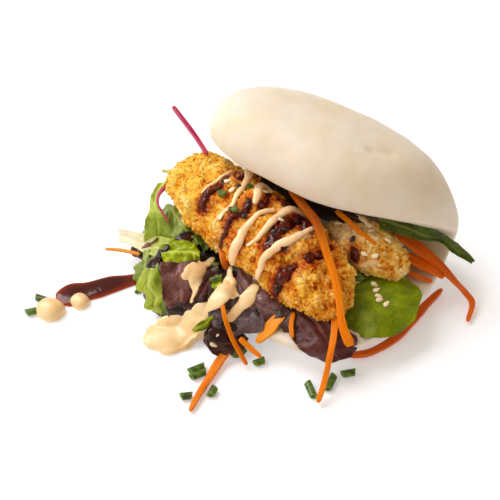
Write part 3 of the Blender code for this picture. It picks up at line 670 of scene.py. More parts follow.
# a leaf is laid between a left and a right edge, or along a path whose rows end with its half width
# what a leaf doesn't say is taken from here; sizes are in mm
plainLeaf = {
    "cup": 0, "ruffle": 1, "waves": 2, "frill": 0.8, "lobes": 0.2, "lobeSize": 6, "teeth": 0.05,
    "toothSize": 1.8, "crinkle": 0.8, "crinkleSize": 3.6, "fold": 0, "foldSize": 5, "curl": 0, "thick": 0.4,
    "veinGap": 5.5, "veinShow": 0.75, "veinWide": 0.32, "veinDepth": 0.35, "veinSlant": 0.9,
    "sideVein": 0.55, "ribWide": 0.35, "ribTaper": 0.55, "blanchBlur": 0.35,
    "blanchTo": -1, "cells": (56, 26), "slot": "salad", "nodes": (),
}
leaves = {
    "butterLeaf": dict(
        left=[(20, 1, 19), (32, 6.5, 20), (41, 11, 19.5), (50, 12, 18.5), (56, 8.5, 16.5)],
        right=[(26, -17.5, 17), (36, -20, 16), (46, -20.5, 14.5), (54.5, -15, 14), (59, -3, 15)],
        cup=-2, seed=3, lobes=0.05, teeth=0.01, crinkle=0.7, crinkleSize=6, veinShow=0.4, veinGap=8,
        slot="green_leaf", cells=(72, 44), nodes=("green_leaf_right",), look="butterLettuce"),
    "spinachLeaf": dict(
        left=[(26.5, 25, 33), (35, 27.5, 31), (44.5, 30, 27.5), (53, 34.5, 23), (59, 36, 19),
              (64.5, 36, 15)],
        right=[(31.5, 17, 30), (38, 20.5, 28), (46, 24, 26), (51, 30, 23), (56.5, 31.5, 19),
               (64, 34.5, 14.5)],
        cup=1.2, ruffle=0.4, seed=5, lobes=0.04, teeth=0.01, crinkle=0.5, crinkleSize=5, veinShow=0.6,
        veinGap=7, slot="spinach_leaf", nodes=("green_leaf_back",), look="babySpinach"),
    "redFrontLeaf": dict(
        left=[(31, -23, 17), (39, -23, 16.5), (44.5, -22.5, 14.5), (47, -25, 12), (46, -28.5, 9.5)],
        right=[(16, -26.5, 17), (21, -31.5, 15.5), (25, -36, 14), (32, -38, 12), (40, -35.5, 8.5)],
        cup=-1.5, seed=8, fold=2, lobes=0.1, slot="red_leaf", nodes=("red_leaf_front",),
        look="redButter"),
    "chardLeaf": dict(
        left=[(-55, -1, 28), (-52.5, -11, 26.5), (-47.5, -14.5, 25), (-43, -15.5, 21), (-41, -19.5, 13)],
        right=[(-57.5, -4, 28), (-56.5, -10, 26.5), (-54, -16.5, 24), (-53, -20.5, 19), (-51.5, -23, 10)],
        ruffle=0.7, seed=2, veinShow=0.5, lobes=0.12, look="midGreenLettuce"),
    "chardLobe": dict(
        left=[(-48.5, -6.5, 23), (-45, -4.5, 23.5), (-39.5, -8, 23), (-34, -11.5, 22), (-28.5, -15, 20)],
        right=[(-48, -12.5, 23.5), (-44.5, -18, 22), (-40, -20.5, 20.5), (-35.5, -20.5, 20),
               (-29.5, -19.5, 19)],
        cup=-1, waves=3, crinkle=1.6, seed=4, look="greyGreenLettuce"),
    "frillyLeaf": dict(
        left=[(-38, -4.5, 23), (-32, -8, 22.5), (-26.5, -12.5, 21.5), (-23.5, -16.5, 20.5)],
        right=[(-38.5, -8, 22.5), (-33.5, -13.5, 21.5), (-29.5, -17.5, 20.5), (-25.5, -20, 19)],
        ruffle=1.6, waves=4, frill=2, lobes=0.5, crinkle=1.5, seed=18, look="babySpinach"),
    "romaineLeaf": dict(
        left=[(-68, -18.5, 8.5), (-61.5, -18.5, 11), (-53, -19, 13.5), (-45.5, -19.5, 16.5),
              (-38, -19, 18.5), (-31.5, -20, 19)],
        right=[(-64.5, -23.5, 7), (-58, -23.5, 8.5), (-50.5, -26, 11), (-43, -27.5, 13), (-36, -29, 15.5),
               (-30, -27, 17)],
        cup=0.8, ruffle=0.4, seed=6, lobes=0.03, frill=0.1, crinkle=0.5, blanchTo=0.55, veinGap=4,
        look="romaine"),
    "limeLeaf": dict(
        left=[(-42, -25.5, 20), (-38.5, -22.5, 22), (-33.5, -20.5, 23), (-29, -21, 23),
              (-25.5, -21.5, 21.5)],
        right=[(-37.5, -31, 18.5), (-32, -31.5, 18.5), (-28, -29.5, 18.5), (-25.5, -27, 19),
               (-23.5, -25.5, 20.5)],
        cup=-2.2, ruffle=0.6, waves=4, lobes=0.12, crinkle=2.4, crinkleSize=2.6, seed=7,
        look="limeLettuce"),
    "lowStem": dict(
        left=[(-47, -25.5, 14), (-45.5, -28.5, 12.5), (-43, -32.5, 10.5)],
        right=[(-49.5, -26.5, 13), (-48, -30, 11.5), (-46.5, -33, 10)],
        ruffle=0.3, seed=26, cells=(30, 12), look="greyGreenLettuce"),
    "lowGreenLeaf": dict(
        left=[(-37, -34.5, 16.5), (-34.5, -36, 14.5), (-32.5, -38.5, 12.5), (-30.5, -40.5, 9.5),
              (-29.5, -41.5, 7), (-28.5, -42, 4.5), (-27, -42, 3)],
        right=[(-41, -37, 16.5), (-41.5, -41, 13.5), (-41, -44, 11), (-36.5, -43.5, 9), (-35.5, -46.5, 6),
               (-31.5, -45, 4), (-27.5, -43, 3)],
        cup=-0.8, ruffle=0.6, lobes=0.08, seed=9, crinkle=0.7, look="midGreenLettuce"),
    "purpleLeftLeaf": dict(
        left=[(-22.5, -27, 20), (-21, -30, 19), (-19.5, -32.5, 16.5), (-18, -35, 13), (-17, -37.5, 10)],
        right=[(-35, -35, 19.5), (-33, -37.5, 18), (-30.5, -40.5, 15.5), (-29, -42.5, 12),
               (-26, -43.5, 8)],
        cup=1.2, seed=10, crinkle=1.4, fold=3.5, curl=1.8, lobes=0.1, look="redLettuce"),
    "purpleMiddleLeaf": dict(
        left=[(-7, -22, 22), (-1, -23, 22), (6, -24.5, 21.5), (12.5, -24.5, 20), (18, -23.5, 17)],
        right=[(-5.5, -28.5, 20), (1, -34.5, 17.5), (7, -37, 13), (11.5, -34, 11), (17.5, -27, 12)],
        cup=-1, ruffle=0.8, seed=12, crinkle=1.4, fold=3, lobes=0.15, look="violetLettuce"),
    "bottomDarkLeaf": dict(
        left=[(-6, -48.5, 11), (-5, -44, 13), (-1, -41, 12.5), (3.5, -40, 10), (7.5, -39, 7)],
        right=[(-5, -50.5, 8), (-0.5, -51, 5), (3, -50, 3.5), (5, -46, 3), (8, -42.5, 2.5)],
        cup=-1, ruffle=1.2, seed=13, fold=2, look="darkLettuce"),
    "darkMiddleLeaf": dict(
        path=[(-22, -26, 18.5, 4), (-16, -31, 17.5, 6), (-12, -37, 12, 6), (-10, -42, 6, 4)],
        cup=-1, ruffle=1.6, seed=14, waves=3, fold=2, look="darkLettuce"),
    "darkCentreLeaf": dict(
        left=[(-11, -38, 15), (-7.5, -33.5, 18.5), (1, -33, 18.5), (10.5, -32, 15)],
        right=[(-4, -49, 7.5), (0, -46.5, 8), (6, -41.5, 9.5), (13, -37, 12.5)],
        cup=-1, ruffle=0.8, seed=30, fold=1.2, look="wetVioletLettuce"),
    "redStripLeaf": dict(
        left=[(-13, -29, 20.5), (-13, -34.5, 19.5), (-13, -39, 17)],
        right=[(-15.5, -30, 20), (-15.5, -35.5, 19), (-15.5, -40, 16.5)],
        cup=1, ruffle=0.4, seed=27, cells=(30, 12), look="redButter"),
    "limeBitLeaf": dict(
        left=[(-11, -28.5, 21.5), (-9, -31.5, 21), (-9.5, -34.5, 20)],
        right=[(-12.5, -29.5, 21.5), (-12.5, -32, 20.5), (-11.5, -34.5, 19.5)],
        cup=0.8, ruffle=0.5, seed=28, cells=(30, 12), look="limeLettuce"),
    "greenBottomLeaf": dict(
        left=[(1.5, -42, 7), (5, -41, 6), (9, -41.5, 3)],
        right=[(1, -45.5, 5), (6, -47, 2.5), (8.5, -44.5, 2)],
        cup=-1, ruffle=0.8, seed=21, cells=(30, 16), look="babySpinach"),
    "darkRightLeaf": dict(
        path=[(14, -20, 18, 5), (20, -25, 17, 8), (25, -29, 14, 8), (28, -34, 9, 5)],
        cup=-1.5, ruffle=1.2, seed=16, fold=1.5, look="darkLettuce"),
    # a dark leaf in the cavity under the lid; it also stands as painted shade for that cavity
    "cavityLeaf": dict(
        path=[(1, 12.5, 33.4, 2.5), (7, 14, 33.4, 4), (13, 14.5, 33.3, 4), (19, 15, 32.8, 4),
              (26, 16, 31.6, 2)],
        cup=-1.2, ruffle=0.5, seed=22, fold=1, look="darkLettuce"),
    "lowLeftGreenLeaf": dict(
        path=[(-40, -29, 15, 5), (-45, -32, 10.5, 6), (-46, -33.5, 5, 5.5), (-46, -34, 1, 2.5)],
        cup=-1.5, seed=33, look="greyGreenLettuce"),
    "lowLeftRedLeaf": dict(
        path=[(-33, -33, 14, 5), (-36.5, -36.5, 9, 6), (-37.5, -38.5, 4, 5.5), (-37.5, -39.5, 1, 3)],
        cup=-1.5, ruffle=1.2, seed=34, fold=1.5, look="redLettuce"),
    "lowLeftDarkLeaf": dict(
        path=[(-26, -37, 13, 4), (-29, -41, 8.5, 5.5), (-30, -43, 4, 5), (-30, -43.5, 1.2, 2.5)],
        cup=-1.5, ruffle=1.2, seed=35, look="babySpinach"),
    # a leaf under the lid, coloured near-black: painted shadow of the lid over the dark leaves there
    "underLidLeaf": dict(
        path=[(-28, 17.5, 34, 4), (-19, 17, 34.3, 6.5), (-10, 15.5, 34.3, 7), (-1, 14.2, 34, 6.5),
              (7, 13.8, 33.8, 6), (15, 14, 33.4, 4)],
        cup=-1.2, ruffle=0.7, waves=4, seed=37, fold=1.2, look="paintedShadowLettuce"),
    "paleTipLeaf": dict(
        path=[(-53, 8, 22.5, 1.1), (-58, 9.3, 22.3, 1.2), (-61.5, 9.5, 22, 1.1), (-64.8, 8.4, 22, 0.9)],
        cup=0.4, ruffle=0.2, frill=0.1, crinkle=0.2, seed=36, blanchTo=0.9, cells=(30, 12),
        look="romaine"),
    "leftEndLeaf": dict(
        path=[(-46, -5, 17.5, 5), (-52, -8, 14.5, 7.5), (-56, -11, 8, 7), (-57, -13, 2, 3)],
        ruffle=1.2, waves=3, seed=31, look="greyGreenLettuce"),
    "leftLowLeaf": dict(
        path=[(-47, -18, 16, 4), (-53, -20, 12, 5), (-56, -21.5, 6.5, 4.5), (-56, -22.5, 2, 2.5)],
        seed=32, look="redLettuce"),
    "underTipLeaf": dict(
        path=[(22, -4, 21.5, 2), (26, -2, 21, 3), (31, 0, 20, 3), (35, 3, 19, 2)],
        waves=3, seed=24, look="babySpinach"),
    "poolGreenLeaf": dict(
        left=[(-10, -50.5, 11), (-9, -46.5, 13), (-6.5, -41.5, 14)],
        right=[(-9.5, -50, 10), (-6, -47, 11.5), (-5.5, -42, 13)],
        cup=-0.8, ruffle=0.3, crinkle=1, crinkleSize=1.8, seed=29, cells=(40, 14), look="butterLettuce"),
}

# lumps under the leaves, as rows of x, y, z, half width and half height
heapForms = [
    [(-44, -3, 15.6, 9, 1), (-20, -6, 15.6, 11, 1), (0, -10, 15.6, 11, 1), (14, -12, 15.4, 7, 0.8)],
    [(-50, -14, 6, 5, 6), (-42, -26, 6.5, 8, 6), (-26, -34, 6.5, 7, 6), (-8, -38, 5.5, 5, 5),
     (6, -40, 3.5, 3, 3)],
    [(-44, -12, 13, 7, 4), (-26, -19, 13.5, 8, 3.5), (-4, -25, 13, 7, 2.5), (14, -26, 12.5, 4.5, 1.8)],
]
heapRough = [(6, 1.8, 4.0), (2.4, 0.8, 8.0)]  # size, depth and seed


# fresh salad leaf: waxy blade with paler veins pressed in, a fine net and small bumps between them
def saladLeaf(name, deep, light, veinColour, roughness, shine):
    material, tree, coords = newMaterial(name)
    vein, blanch = [addNode(tree, "Attribute", attribute_name=layer).outputs["Fac"]
                    for layer in ("vein", "blanch")]
    blotches = addNode(tree, "TexNoise", {
        "Vector": coords["Object"], "Scale": 1000 / 7, "Detail": 3.0, "Roughness": 0.6})
    blade = addNode(tree, "ValToRGB", {"Fac": blotches}, [(0.32, deep), (0.68, light)])
    net = addNode(tree, "TexVoronoi", {"Vector": coords["UV"], "Scale": 7.0}, feature="DISTANCE_TO_EDGE")
    lines = addNode(tree, "MapRange", {
        "Value": net, "From Min": 0.02, "From Max": 0.10, "To Min": 0.2, "To Max": 0.0})
    both = addNode(tree, "Math", {0: vein, 1: lines}, operation="MAXIMUM")
    veined = addNode(tree, "Mix", {0: both, 6: blade, 7: veinColour}, data_type="RGBA")
    colour = addNode(tree, "Mix", {0: blanch, 6: veined, 7: "#E6DFC8"}, data_type="RGBA")
    pressed = addNode(tree, "Bump", {"Height": both, "Distance": 0.0003, "Strength": 0.5}, invert=True)
    pebbles = addNode(tree, "TexNoise", {"Vector": coords["UV"], "Scale": 12.0, "Detail": 2.0})
    bump = addNode(tree, "Bump", {
        "Height": pebbles, "Distance": 0.0003, "Strength": 0.5, "Normal": pressed})
    return closeMaterial(material, {
        "Base Color": colour, "Normal": bump, "Roughness": roughness,
        "Specular IOR Level": shine, "Subsurface Weight": 0.10, "Subsurface Radius": (0.6, 1.0, 0.2),
        "Subsurface Scale": 0.001})


# leaves crushed together under the others, only seen in the gaps: dark and wet, and darker still as painted
# shade of the gaps
def crushedLeaves():
    material, tree, coords = newMaterial("crushedSaladLeavesPaintedShade")
    mixed = addNode(tree, "TexNoise", {
        "Vector": coords["Object"], "Scale": 1000 / 5, "Detail": 4.0, "Roughness": 0.65})
    colour = addNode(tree, "ValToRGB", {"Fac": mixed}, [
        (0.32, "#1E100C"), (0.47, "#3A1F1A"), (0.56, "#2C360C"), (0.66, "#55342C")])
    folds = addNode(tree, "Bump", {"Height": mixed, "Distance": 0.002, "Strength": 0.8})
    return closeMaterial(material, {"Base Color": colour, "Normal": folds, "Roughness": 0.3})


# a blade laid on its path: cupped, ruffled and lobed, with its veins pressed in
def growLeaf(name, leaf):
    rows, columns = leaf["cells"]
    piece = startFrom("grid", name, x_subdivisions=rows, y_subdivisions=columns, size=2)
    unit = readPoints(piece)
    place = (unit[:, 0] + 1) / 2
    across = unit[:, 1]
    seed = leaf["seed"]
    if "left" in leaf:
        path = (np.array(leaf["left"], dtype=float) + np.array(leaf["right"], dtype=float)) / 2
        half = np.linalg.norm(splineAt(leaf["left"], place) - splineAt(leaf["right"], place), axis=1) / 2
    else:
        path = np.array(leaf["path"], dtype=float)[:, :3]
        half = splineAt(leaf["path"], place)[:, 3]
    half = np.maximum(half, 0.3)
    length = np.linalg.norm(path[1:] - path[:-1], axis=1).sum()
    span = place * length
    edge, teeth = [
        np.array([noise.noise(Vector((s / size, far * np.sign(a), seed))) for s, a in zip(span, across)])
        for size, far in ((leaf["lobeSize"], 4.0), (leaf["toothSize"], 7.0))]
    wide = across * half * (1 + (leaf["lobes"] * edge + leaf["teeth"] * teeth) * np.abs(across) ** 3)
    flat = np.column_stack([span, wide, np.full(len(span), seed * 10)])
    wander = noiseAt(flat, 7.0)
    midrib = np.exp(-((wide + wander * 0.8) / (leaf["ribWide"] + leaf["ribTaper"] * (1 - place))) ** 2)
    gap = leaf["veinGap"]
    lean = (span - np.abs(wide) * leaf["veinSlant"] + wander * 2.5) / gap
    branch = np.exp(-((lean - np.round(lean)) * gap / leaf["veinWide"]) ** 2) * (1 - np.abs(across) ** 4)
    vein = np.clip(np.maximum(midrib, leaf["sideVein"] * branch), 0, 1)
    phase = np.where(across > 0, 1.3, 0.0)
    wave = np.sin(math.pi * leaf["waves"] * unit[:, 0] + phase)
    rise = leaf["cup"] * across ** 2 + leaf["ruffle"] * np.abs(across) ** 1.5 * wave
    rise = rise + leaf["frill"] * np.abs(across) ** 3 * (edge * 1.2 + teeth * 0.5)
    rise = rise + leaf["crinkle"] * noiseAt(flat, leaf["crinkleSize"], 2.0) * (1 - vein)
    rise = rise + leaf["fold"] * np.abs(noiseAt(flat * np.array([0.5, 1, 1]), leaf["foldSize"], 6.0))
    rise = rise + leaf["curl"] * np.exp(-span / 1.5) - leaf["veinDepth"] * vein
    if "left" in leaf:
        writePoints(piece, layBetween(place, wide, rise, leaf["left"], leaf["right"]))
    else:
        writePoints(piece, bendAlong(place, wide, rise, path))
    writeUv(piece, flat[:, :2] / 10)
    writeAttribute(piece, "vein", vein * leaf["veinShow"])
    writeAttribute(piece, "blanch", np.clip((leaf["blanchTo"] - place) / leaf["blanchBlur"], 0, 1))
    applyModifier(piece, "SOLIDIFY", thickness=leaf["thick"] * mm, offset=0.0)
    subdivide(piece)
    return piece


def makeHeapCore():
    core = joinAll("crushedLeafBed", [addBall("heapLump", form, 16) for form in heapForms])
    applyModifier(core, "REMESH", mode="VOXEL", voxel_size=0.8 * mm)
    for size, depth, seed in heapRough:
        roughen(core, size, depth, seed)
    keepAbove(core, 0.1)
    return core


heapCore = makeHeapCore()
finishPiece(heapCore, crushedLeaves(), "salad", "salad_heap")
leafFinishes = {name: saladLeaf(name, *look) for name, look in leafLooks.items()}
leafPieces = {}
for name, plan in leaves.items():
    leaf = {**plainLeaf, **plan}
    leafPieces[name] = growLeaf(name, leaf)
    finishPiece(leafPieces[name], leafFinishes[leaf["look"]], leaf["slot"], *leaf["nodes"])
looseLeaves = [piece for name, piece in leafPieces.items() if "nodes" not in leaves[name]]
heapGround = groundOf(heapCore, *looseLeaves, withFloor=True)
print("leaves done")


# reduced soy glaze: near black where it is thick, red-brown where it runs thin
# with a rim, it is thin up to the first height and thick from the second
def soyGlaze(name, look):
    material, tree, coords = newMaterial(name)
    cloud = addNode(tree, "TexNoise", {"Vector": coords["Object"], "Scale": 1000 / 4, "Detail": 2.0})
    if "rim" in look:
        apart = addNode(tree, "SeparateXYZ", {"Vector": coords["Object"]})
        thick = addNode(tree, "MapRange", {
            "Value": apart.outputs["Z"], "From Min": look["rim"][0] * mm, "From Max": look["rim"][1] * mm})
        colour = addNode(tree, "Mix", {
            0: thick, 6: look["thin"], 7: look["body"]}, data_type="RGBA")
    else:
        colour = addNode(tree, "ValToRGB", {"Fac": cloud}, [(0.35, look["body"]), (0.70, look["thin"])])
    return closeMaterial(material, {
        "Base Color": colour, "Roughness": look["roughness"], "IOR": 1.4,
        "Normal": addNode(tree, "Bump", {"Height": cloud, "Distance": 0.0004, "Strength": 0.4})})


# shredded carrot: bright, deep and core colour, roughness of the cut faces, and the strips that have
# them; the first look is for all strips that the others don't name
carrotLooks = {
    "rawShreddedCarrot": ("#EC8204", "#C64E02", "#FAA822", 0.34, ()),
    "redderShreddedCarrot": ("#E06408", "#BC3C04", "#EE8A2C", 0.3, (
        "carrot_right_long", "carrot_right_low", "carrot_right_under", "carrot_front_right")),
    "palerShreddedCarrot": ("#EC9420", "#D87A10", "#F6B450", 0.34, ("carrot_far_left", "carrot_wide")),
}

# rows of x, y, z and half width, then the strip's half height and its roll in degrees
carrotStrips = {
    "carrot_long": ([(-4, 9, 41, 1.7), (6, 3, 40.5, 2.1), (14, -1, 39, 2), (23, -9, 35, 1.8),
         (33, -18, 29, 1.8), (40, -26, 21.5, 2), (46, -30, 17, 2.8)], 1.3, [0, -10, -15, -10, 0, 10, 10]),
    "carrot_thin_top": ([(15, 12, 36, 1.1), (21, 11, 34.5, 1.2), (28, 9, 33.2, 1), (35, 8, 31.5, 0.7)],
         0.8),
    "carrot_right_long": ([(35, 22, 27, 3.4), (43, 25.5, 21.5, 4.2), (53, 26.5, 16, 3.2),
         (61, 27, 10, 1.8), (66, 28, 5, 1.6), (70, 26, 3, 1.5), (72, 18, 1.5, 1.3)], 0.8),
    "carrot_right_low": ([(38, 18.5, 21.5, 2.4), (46, 21, 18, 3.6), (53, 23, 15.5, 3),
         (57.5, 24, 12.5, 1.4)], 0.8),
    "carrot_right_under": ([(41, 15.5, 17.2, 1.2), (48, 16, 15.8, 1.3), (55, 19, 13, 0.9)], 0.7),
    "carrot_front_right": ([(42, -22, 1.5, 1.4), (48, -16, 1.5, 1.8), (52.5, -5, 1.5, 1.9),
         (54, 6, 1.5, 1.9), (54.5, 17, 1.5, 2), (56, 28, 1.5, 1.2)], 1.1),
    "carrot_front": ([(33, -19, 19, 1.6), (38, -28, 18.2, 1.6), (41, -36, 14.5, 1.5), (42.5, -42, 7, 1.4),
         (43.5, -48, 1.6, 1.2)], 1),
    "carrot_wide": ([(17, -27.5, 16, 1.8), (15.5, -32, 14.5, 3.2), (14, -36, 11.5, 3.4),
         (12, -40, 8, 1.6)], 0.8),
    "carrot_curl": ([(20, -27, 17, 1), (22, -32, 16, 1.2), (25, -36, 14.5, 0.8)], 0.7),
    "carrot_left_long": ([(3.5, -44, 4.5, 2.2), (2.5, -51, 2.2, 2.2), (3.5, -60, 1.5, 1.8),
         (4.5, -68, 1.5, 1.5), (6, -76, 1.2, 1)], 1),
    "carrot_left_curve": ([(-5, -38, 20, 1), (0, -43, 17, 1.1), (4, -45, 11, 1.1), (8, -46, 6, 1.1),
         (12, -47, 2, 0.9)], 0.8),
    "carrot_left_small": ([(7, -44, 11, 1.3), (12, -44.5, 9, 1.3), (17, -45, 7.5, 0.9)], 0.7),
    "carrot_far_left": ([(-69, -27, 4, 0.6), (-61, -26, 6.5, 0.8), (-52, -26, 9, 0.9)], 0.6),
}
glazedShred = {
    "path": [(-17, -20, 27, 1.4), (-13, -24, 25, 1.8), (-11, -25, 21.5, 1.2)], "height": 0.8,
    "look": {"body": "#B0480A", "thin": "#DA7A1C", "roughness": 0.2},
}


# raw shredded carrot: wet cut faces, fine fibres along the strip, a lighter core in places
def cutCarrot(name, bright, deep, core, roughness):
    material, tree, coords = newMaterial(name)
    fibres = addNode(tree, "Mapping", {"Vector": coords["UV"], "Scale": (0.25, 6.0, 1.0)})
    streaks = addNode(tree, "TexNoise", {"Vector": fibres, "Scale": 3.0, "Detail": 4.0, "Roughness": 0.6})
    colour = addNode(tree, "ValToRGB", {"Fac": streaks}, [
        (0.30, deep), (0.50, bright), (0.72, core)])
    apart = addNode(tree, "SeparateXYZ", {"Vector": coords["Object"]})
    height = addNode(tree, "MapRange", {
        "Value": apart.outputs["Z"], "From Min": 35 * mm, "From Max": 40 * mm, "To Max": 0.75})
    stained = addNode(tree, "Mix", {  # darker near the top: partly glaze stain on the chicken, partly painted shade under the lid
        0: height, 6: colour, 7: "#8A380A"}, data_type="RGBA")
    return closeMaterial(material, {
        "Base Color": stained, "Roughness": roughness, "Specular IOR Level": 0.15,
        "Normal": addNode(tree, "Bump", {"Height": streaks, "Distance": 0.0003, "Strength": 0.6}),
        "Subsurface Weight": 0.25, "Subsurface Radius": (1.0, 0.35, 0.08), "Subsurface Scale": 0.0012})


# how a strip is cut; the shares take a little off the width and height of its plan
stripCut = {
    "bevel": 0.22, "endLength": 1.6, "endShare": 0.75, "unevenness": 0.14, "unevenSize": 5,
    "widthShare": 0.74, "heightShare": 0.80,
}


# a cube drawn out along its path, its edges eased
def addStrip(name, path, height, roll=(0, 0), cuts=40, seed=1.0):
    piece = startFrom("cube", name, size=2)
    bpy.ops.object.mode_set(mode="EDIT")
    bpy.ops.mesh.select_all(action="SELECT")
    bpy.ops.mesh.bevel(offset=stripCut["bevel"], segments=2, affect="EDGES")
    for number in range(1, cuts):
        bpy.ops.mesh.select_all(action="SELECT")
        bpy.ops.mesh.bisect(plane_co=(-0.9 + 1.8 * number / cuts, 0, 0), plane_no=(1, 0, 0))
    bpy.ops.object.mode_set(mode="OBJECT")
    unit = readPoints(piece)
    place = (unit[:, 0] + 1) / 2
    length = np.linalg.norm(np.diff(np.array(path, dtype=float)[:, :3], axis=0), axis=1).sum()
    fromEnd = np.clip((1 - np.abs(unit[:, 0])) * length / stripCut["endLength"], 0, 1)
    blunt = fromEnd ** 0.5 * (1 - stripCut["endShare"]) + stripCut["endShare"]
    waves = np.array([noise.noise(Vector((p * length / stripCut["unevenSize"], seed, 0))) for p in place])
    uneven = 1 + stripCut["unevenness"] * waves
    across = unit[:, 1] * splineAt(path, place)[:, 3] * stripCut["widthShare"] * blunt * uneven
    rise = unit[:, 2] * height * stripCut["heightShare"] * blunt
    writePoints(piece, bendAlong(place, across, rise, path, roll))
    around = np.arctan2(unit[:, 2], unit[:, 1]) / math.pi
    writeUv(piece, np.column_stack([place * length / 10, around]))
    return piece


carrotFinishes = {}
for name, (*look, strips) in carrotLooks.items():
    carrotFinishes.update(dict.fromkeys(strips or carrotStrips, cutCarrot(name, *look)))
for number, (node, plan) in enumerate(carrotStrips.items()):
    strip = addStrip(node.replace("carrot_", "carrotStrip_"), *plan, seed=number * 3.3)
    finishPiece(strip, carrotFinishes[node], "carrot", node, sharpFrom=40)
shred = addStrip("carrotShredGlazed", glazedShred["path"], glazedShred["height"], seed=50)
finishPiece(shred, soyGlaze("glazedCarrotShred", glazedShred["look"]), "carrot")
print("carrots done")


# young beet stalk: glossy magenta skin with paler lengthwise streaks
def beetSkin():
    material, tree, coords = newMaterial("beetStalkSkin")
    fibres = addNode(tree, "Mapping", {"Vector": coords["UV"], "Scale": (0.3, 4.0, 1.0)})
    streaks = addNode(tree, "TexNoise", {"Vector": fibres, "Scale": 3.0, "Detail": 3.0})
    colour = addNode(tree, "ValToRGB", {"Fac": streaks}, [
        (0.36, "#8F1240"), (0.52, "#BC1F58"), (0.72, "#E58AA6")])
    return closeMaterial(material, {
        "Base Color": colour, "Roughness": 0.3, "Subsurface Weight": 0.15, "Subsurface Scale": 0.001})


# the beet stem, and the red stalk in the chard leaf, as rows of x, y, z and half width
beetPath = [(-67, 21, 46.5, 1), (-60, 19, 43, 1.1), (-53, 16.5, 40, 1.2), (-44, 12, 37.2, 1.1)]
chardStalkPath = [(-50, 6, 26, 1), (-53.5, -1.5, 27.5, 1.1), (-53.5, -8.5, 27.8, 0.9),
                  (-51.5, -13, 27, 0.6), (-47.5, -15.5, 25.6, 0.35), (-43.5, -17, 23.4, 0.25)]


def makeStalk(name, path, *nodes, height, seed):
    stalk = addStrip(name, path, height, cuts=24, seed=seed)
    subdivide(stalk)
    finishPiece(stalk, beetFinish, "beet", *nodes)


beetFinish = beetSkin()
makeStalk("beetStalk", beetPath, "beet_stem", height=1.1, seed=9.0)

# cut chives: on the floor as x, y, heading and length; on the filling with their radius too
chiveLook = {
    "skin": "#5F7E20", "dark": "#2A4010", "inside": "#93AE4E", "radius": 1.5, "wall": 0.5, "sides": 20,
    "squash": 0.85, "slant": 0.35, "hollow": 1.8, "floorHeight": 1.3,
}
chiveCuts = {
    "chive_1": (-3, -58, 60, 6), "chive_2": (-1, -60, 60, 6), "chive_3": (8, -64, 100, 4),
    "chive_4": (1, -71, 40, 4), "chive_5": (15, -42.5, 60, 4), "chive_6": (38, -44, -40, 7),
    "chive_7": (42.5, -37, 100, 7), "chive_8": (46, -29.5, 45, 5), "chive_9": (-74, -68.5, 50, 4),
    "chive_10": (-75, -61, 10, 5),
}
crustChives = [(-26, -5, 20, 3, 1.5), (-19, 3, 70, 3, 1.3), (-16, -11, 50, 2.6, 1.3)]
heapChives = [(-18, -22, 20, 2.2, 1.5), (-12, -31, 60, 4, 1.3), (-46, -35, 100, 5, 1.2)]


# fresh cut chive: waxy tube, dark outside with fine blotches, pale wet inside
def chiveSkin(look):
    material, tree, coords = newMaterial("freshChiveSkin")
    inner = addNode(tree, "Attribute", attribute_name="inner").outputs["Fac"]
    blotches = addNode(tree, "TexNoise", {"Vector": coords["Object"], "Scale": 1000 / 2.5, "Detail": 3.0})
    skin = addNode(tree, "ValToRGB", {"Fac": blotches}, [(0.35, look["dark"]), (0.65, look["skin"])])
    colour = addNode(tree, "Mix", {0: inner, 6: skin, 7: look["inside"]}, data_type="RGBA")
    return closeMaterial(material, {
        "Base Color": colour, "Roughness": 0.32, "Specular IOR Level": 0.4,
        "Normal": addNode(tree, "Bump", {"Height": blotches, "Distance": 0.0002, "Strength": 0.5})})


# a tube cut across: a cylinder whose ends are inset and pushed in
def addChive(name, spot, normal, heading, length, radius):
    piece = startFrom("cylinder", name, vertices=chiveLook["sides"], radius=radius * mm, depth=length * mm)
    bpy.ops.object.mode_set(mode="EDIT")
    bpy.ops.mesh.select_mode(type="FACE")
    bpy.ops.mesh.select_all(action="DESELECT")
    bpy.ops.object.mode_set(mode="OBJECT")
    for face in piece.data.polygons:
        face.select = abs(face.normal.z) > 0.9
    bpy.ops.object.mode_set(mode="EDIT")
    bpy.ops.mesh.inset(thickness=chiveLook["wall"] * mm, use_individual=True)
    pushIn = -min(length * 0.35, chiveLook["hollow"]) * mm
    bpy.ops.mesh.extrude_region_shrink_fatten(TRANSFORM_OT_shrink_fatten={"value": pushIn})
    bpy.ops.mesh.select_all(action="SELECT")
    bpy.ops.mesh.normals_make_consistent(inside=False)
    bpy.ops.object.mode_set(mode="OBJECT")
    points = readPoints(piece)
    inner = np.hypot(points[:, 0], points[:, 1]) < (radius - 0.3 * chiveLook["wall"]) * mm
    writeAttribute(piece, "inner", inner.astype(float))
    points[:, 2] += chiveLook["slant"] * points[:, 0] * np.sign(points[:, 2])  # the knife's slant
    points[:, 1] *= chiveLook["squash"]
    ahead, side = headingOn(normal, heading)
    writePoints(piece, points @ np.array([tuple(side), tuple(normal), tuple(ahead)]) + np.array(spot))
    return piece


chiveFinish = chiveSkin(chiveLook)
for node, (x, y, heading, length) in chiveCuts.items():
    spot = Vector((x, y, chiveLook["floorHeight"])) * mm
    name = node.replace("chive_", "chiveCut_")
    chive = addChive(name, spot, Vector((0, 0, 1)), heading, length, chiveLook["radius"])
    finishPiece(chive, chiveFinish, "chive", node, sharpFrom=50)
scattered = []
for ground, cuts in ((chickenGround, crustChives), (heapGround, heapChives)):
    for x, y, heading, length, radius in cuts:
        spot, normal = landOn(ground, (x, y))
        spot = spot + normal * radius * 0.6 * mm
        scattered.append(addChive("toppingChive", spot, normal, heading, length, radius))
finishPiece(joinAll("toppingChives", scattered), chiveFinish, "chive", sharpFrom=50)
makeStalk("chardStalk", chardStalkPath, height=0.8, seed=14.0)
print("chives done")

